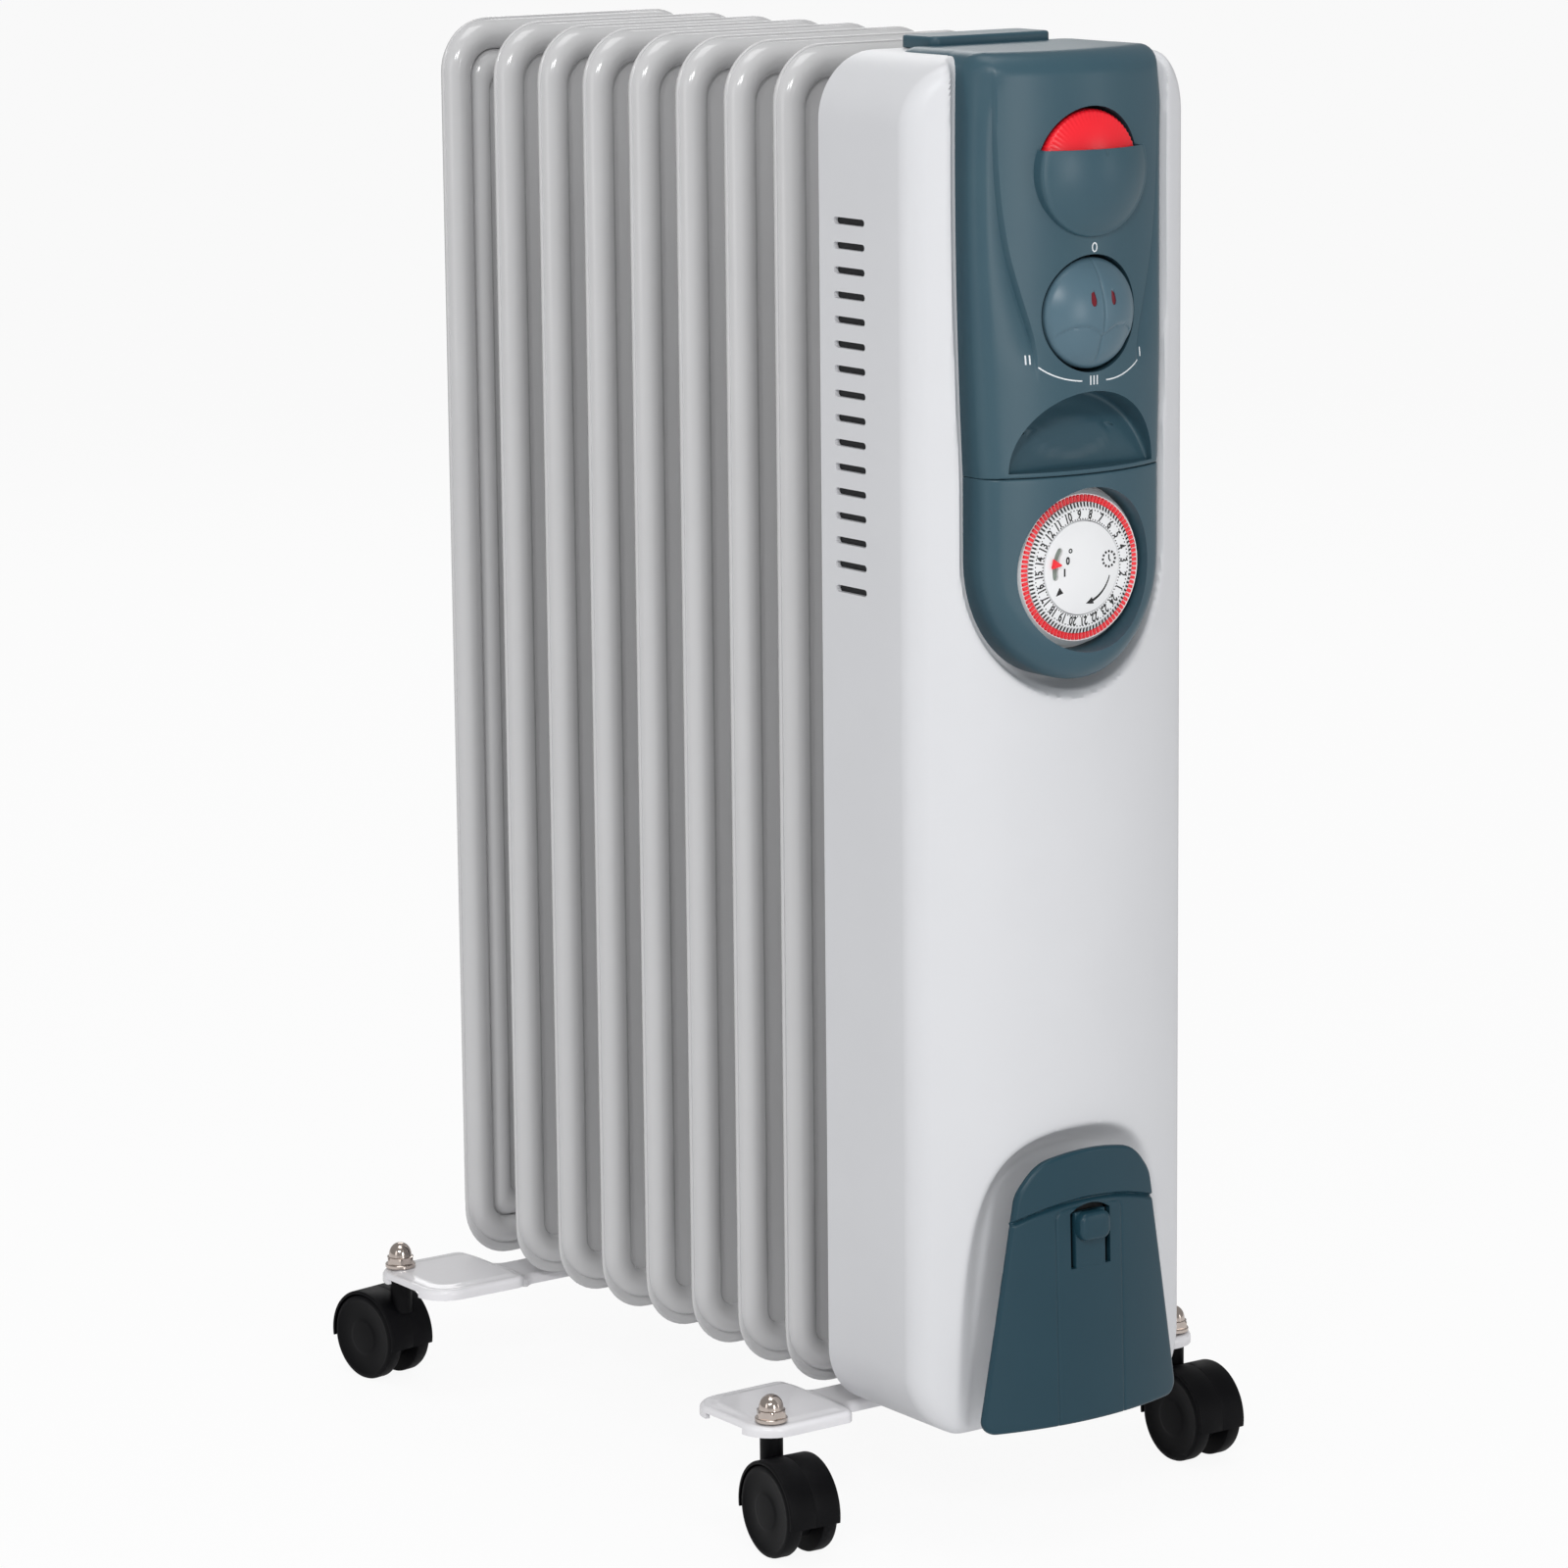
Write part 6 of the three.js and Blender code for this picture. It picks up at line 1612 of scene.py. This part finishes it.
def buildWingNut(node):
    low, high = corners(node)
    mid = middle(node)
    start, top = low[2] + 2, high[2]
    rows = [[3.3, start], [4.6, start], [5.4, start + 1], [6.4, top - 1], [6.4, top - 0.3], [6.0, top],
            [3.3, top], [3.3, start]]
    hub = turned(rows, (mid[0], mid[1], 0), "up", 40)
    parts = [hub]
    turn = math.radians(wingNut["turn"])
    for way in (-1, 1):
        points, faces = roundedStack(*wingNut["ear"], wingNut["earSteps"], 8)
        along, aside = way * (wingNut["earOut"] + points[:, 0]), points[:, 2] * way
        x = mid[0] + along * math.cos(turn) - aside * math.sin(turn)
        y = mid[1] + along * math.sin(turn) + aside * math.cos(turn)
        up = low[2] + wingNut["earUp"] + points[:, 1] + wingNut["lean"] * points[:, 0]
        parts.append((asPoints(x, y, np.clip(up, low[2], high[2])), faces))
    dress(newMesh(f"{node}_casting", parts), zincPlate, "heater", [node], creases=45)


# A cap nut: a washer face, six flats and a polished dome. Its rows are [radius, above its foot].
capNut = {"dome": 5.8, "flats": (1.72, 4.5),
          "rows": ((0, 0), (6.8, 0), (7, 0.2), (7, 1.4), (6.7, 1.7), (6.7, 1.75), (6.7, 4.2), (6.1, 4.9),
                   (5.4, 5.1))}


def buildCapNut(corner):
    node = f"caster_nut_{corner}"
    mid, low, top = middle(node), lowCorner(node)[2], highCorner(node)[2]
    radius = capNut["dome"]
    bend = np.linspace(0, math.pi / 2, 10)
    dome = asPoints((radius - 0.5) * np.cos(bend), top - radius + radius * np.sin(bend))
    profile = [[across, low + up] for across, up in capNut["rows"]] + dome.tolist()
    start, end = (low + up for up in capNut["flats"])
    wave = hexed(lambda rows: (rows[:, 1:] > start) & (rows[:, 1:] < end))
    piece = newMesh(f"cap_nut_{corner}", [turned(profile, (mid[0], mid[1], 0), "up", 72, wave)])
    dress(piece, nickelPlate, "heater", [node], creases=30)


# Casters

caster = {"headings": {"front_left": -4, "front_right": -1, "rear_left": 189, "rear_right": 171},
          "wheel": 20, "width": 7.2, "half": 12.3, "trail": 14, "hood": 22, "wall": 1.5, "below": 8,
          "web": 13, "stem": 5, "seat": 52.2, "stud": 3.6, "studTop": 61.5, "gap": 0.5}


# Turns a part drawn about a caster's stem to the caster's heading and puts it in its place.
def headed(part, corner):
    points, faces = part
    turn = math.radians(caster["headings"][corner])
    place = jointPlace(f"caster_{corner}_swivel")
    x = points[:, 0] * math.cos(turn) - points[:, 1] * math.sin(turn) + place[0]
    y = points[:, 0] * math.sin(turn) + points[:, 1] * math.cos(turn) + place[1]
    return asPoints(x, y, points[:, 2]), faces


# A section of [x, radius] points carried round the axle from one angle to another, with its ends closed.
def arched(section, start, end, steps):
    section = np.array(section, float)
    turn = np.radians(np.linspace(start, end, steps))[:, None]
    across, radius = section.T
    return fanned(asPoints(across, -caster["trail"] + radius * np.cos(turn),
                           caster["wheel"] + radius * np.sin(turn)))


# A slab square to the axle: an outline of [y, z] points between two x, its edges rounded.
def crossSlab(outline, left, right, ease):
    centre = outline.mean(0)
    loops = [asPoints(x, *(outline + (centre - outline) * share).T)
             for x, share in ((left, 1.0), (left, ease / 10), (left + ease, 0.0),
                              (right - ease, 0.0), (right, ease / 10), (right, 1.0))]
    return gridPart(np.stack(loops), closeColumns=True)


# A wheel's profile as [radius, along the axle]: a tread with eased edges, a rim and a raised hub cap.
def wheelFace():
    r, half, base = caster["wheel"], caster["half"], caster["half"] - caster["width"]
    return [[0, base], [r - 1.2, base], [r - 0.35, base + 0.35], [r, base + 1.1], [r, half - 1.5],
            [r - 0.35, half - 0.6], [r - 1.1, half - 0.1], [r - 1.9, half], [r - 2.7, half - 0.15],
            [r - 3.2, half - 0.45], [9.5, half - 0.6], [8.4, half - 0.5], [7.8, half - 0.3],
            [7.0, half - 0.2], [0, half - 0.1]]


# A twin wheel caster's hood, drawn about its stem: an arch over both wheels with a groove along its middle,
# a low rib inside one open side, the web between the wheels, and the stem with its stud.
def hoodParts():
    half, radius, trail, axle = (caster[k] for k in ("half", "hood", "trail", "wheel"))
    inner = radius - caster["wall"]
    start, end = -caster["below"], 180 + caster["below"]
    side = [[half, inner], [half, radius - 0.7], [half - 0.25, radius - 0.2],
            [half - 0.8, radius], [0.25, radius]]
    hood = arched([[-x, up] for x, up in side] + [[0, radius - 0.12]] + side[::-1], start, end, 56)
    left, low = -half + 0.02, inner - 0.05
    rib = arched([[left, low], [left, inner + 0.6], [-half + 1.0, inner + 0.6], [-half + 1.0, low]],
                 start, end, 40)
    span = half - caster["width"] - caster["gap"]
    over = np.radians(np.linspace(0, 180, 41))
    under = np.radians(np.linspace(205, 335, 21))
    reach = radius - caster["wall"] / 2
    outline = np.concatenate([reach * asPoints(np.cos(over), np.sin(over)),
                              caster["web"] * asPoints(np.cos(under), np.sin(under))])
    web = crossSlab(outline + [-trail, axle], -span, span, 0.6)
    bottom, seat, top = axle + caster["web"], caster["seat"], caster["studTop"]
    wide, stud = caster["stem"], caster["stud"]
    profile = [[0, bottom], [wide, bottom], [wide, bottom + 1], [wide, seat - 0.8], [wide - 0.6, seat],
               [stud, seat], [stud, top - 0.3], [stud - 0.4, top], [0, top]]
    stem = turned(profile, (0, 0, 0), "up", 40)
    return hood, rib, web, stem


# A caster: the hood and its stem turn with the swivel, and each wheel rolls by itself.
def buildCaster(corner):
    piece = newMesh(f"caster_hood_{corner}", [headed(part, corner) for part in hoodParts()])
    dress(piece, blackNylon, f"caster_{corner}", [f"caster_fork_{corner}"], creases=35)
    for side, letter in ((-1, "a"), (1, "b")):
        profile = [[radius, along * side] for radius, along in wheelFace()]
        wheel = turned(profile, (0, -caster["trail"], caster["wheel"]), "side", 96)
        piece = newMesh(f"wheel_{corner}_{letter}", [headed(wheel, corner)])
        dress(piece, blackNylon, f"wheel_{corner}_{letter}",
              [f"caster_wheel_{corner}_{letter}"], creases=35)


buildFoot("rear_foot", "rear_u_bolt")
buildFoot("front_foot", "front_u_bolt")
buildClamp("rear")
buildClamp("front")
for corner in caster["headings"]:
    buildCapNut(corner)
    buildCaster(corner)
print("feet and casters built")


# Plugs and the parts inside

# A hub plug: a washer face, six flats with a chamfer, and a shallow dimple.
def buildPlug(node):
    mid, front = middle(node), -lowCorner(node)[1]
    rear, seat = -highCorner(node)[1], 4 - highCorner(node)[1]
    profile = [[0, front], [8, front], [8, seat + 0.3], [16.2, seat + 0.2], [17, seat - 0.4],
               [17, seat - 1.2], [16.6, seat - 1.5], [15.6, seat - 1.55], [15.6, rear + 0.6],
               [14.4, rear + 0.05], [13.4, rear], [6, rear], [5.4, rear + 0.8], [0, rear + 0.9]]

    def flats(rows):
        return (rows[:, 1:] < seat - 1.52) & (rows[:, 1:] > rear - 0.1) & (rows[:, :1] > 14.9)
    cap = turned(profile, (mid[0], 0, mid[2]), "front", 72, hexed(flats))
    dress(newMesh(f"{node}_cap", [cap]), finEnamel, "heater", [node], creases=30)


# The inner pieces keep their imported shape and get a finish.
def dressCarried():
    finishes = {"heating_element": zincPlate, "heat_shield": zincPlate, "thermal_cut_out": zincPlate,
                "thermostat_body": darkAbs, "power_switch_body": darkAbs, "timer_body": whiteAbs}
    for corner in caster["headings"]:
        finishes[f"caster_axle_{corner}"] = zincPlate
    for node, finish in finishes.items():
        part = bpy.data.objects[node]
        part.data.materials.clear()
        part.data.materials.append(finish)


buildPlug("upper_oil_plug")
buildPlug("lower_oil_plug")
dressCarried()
print("plugs built, inner parts dressed")
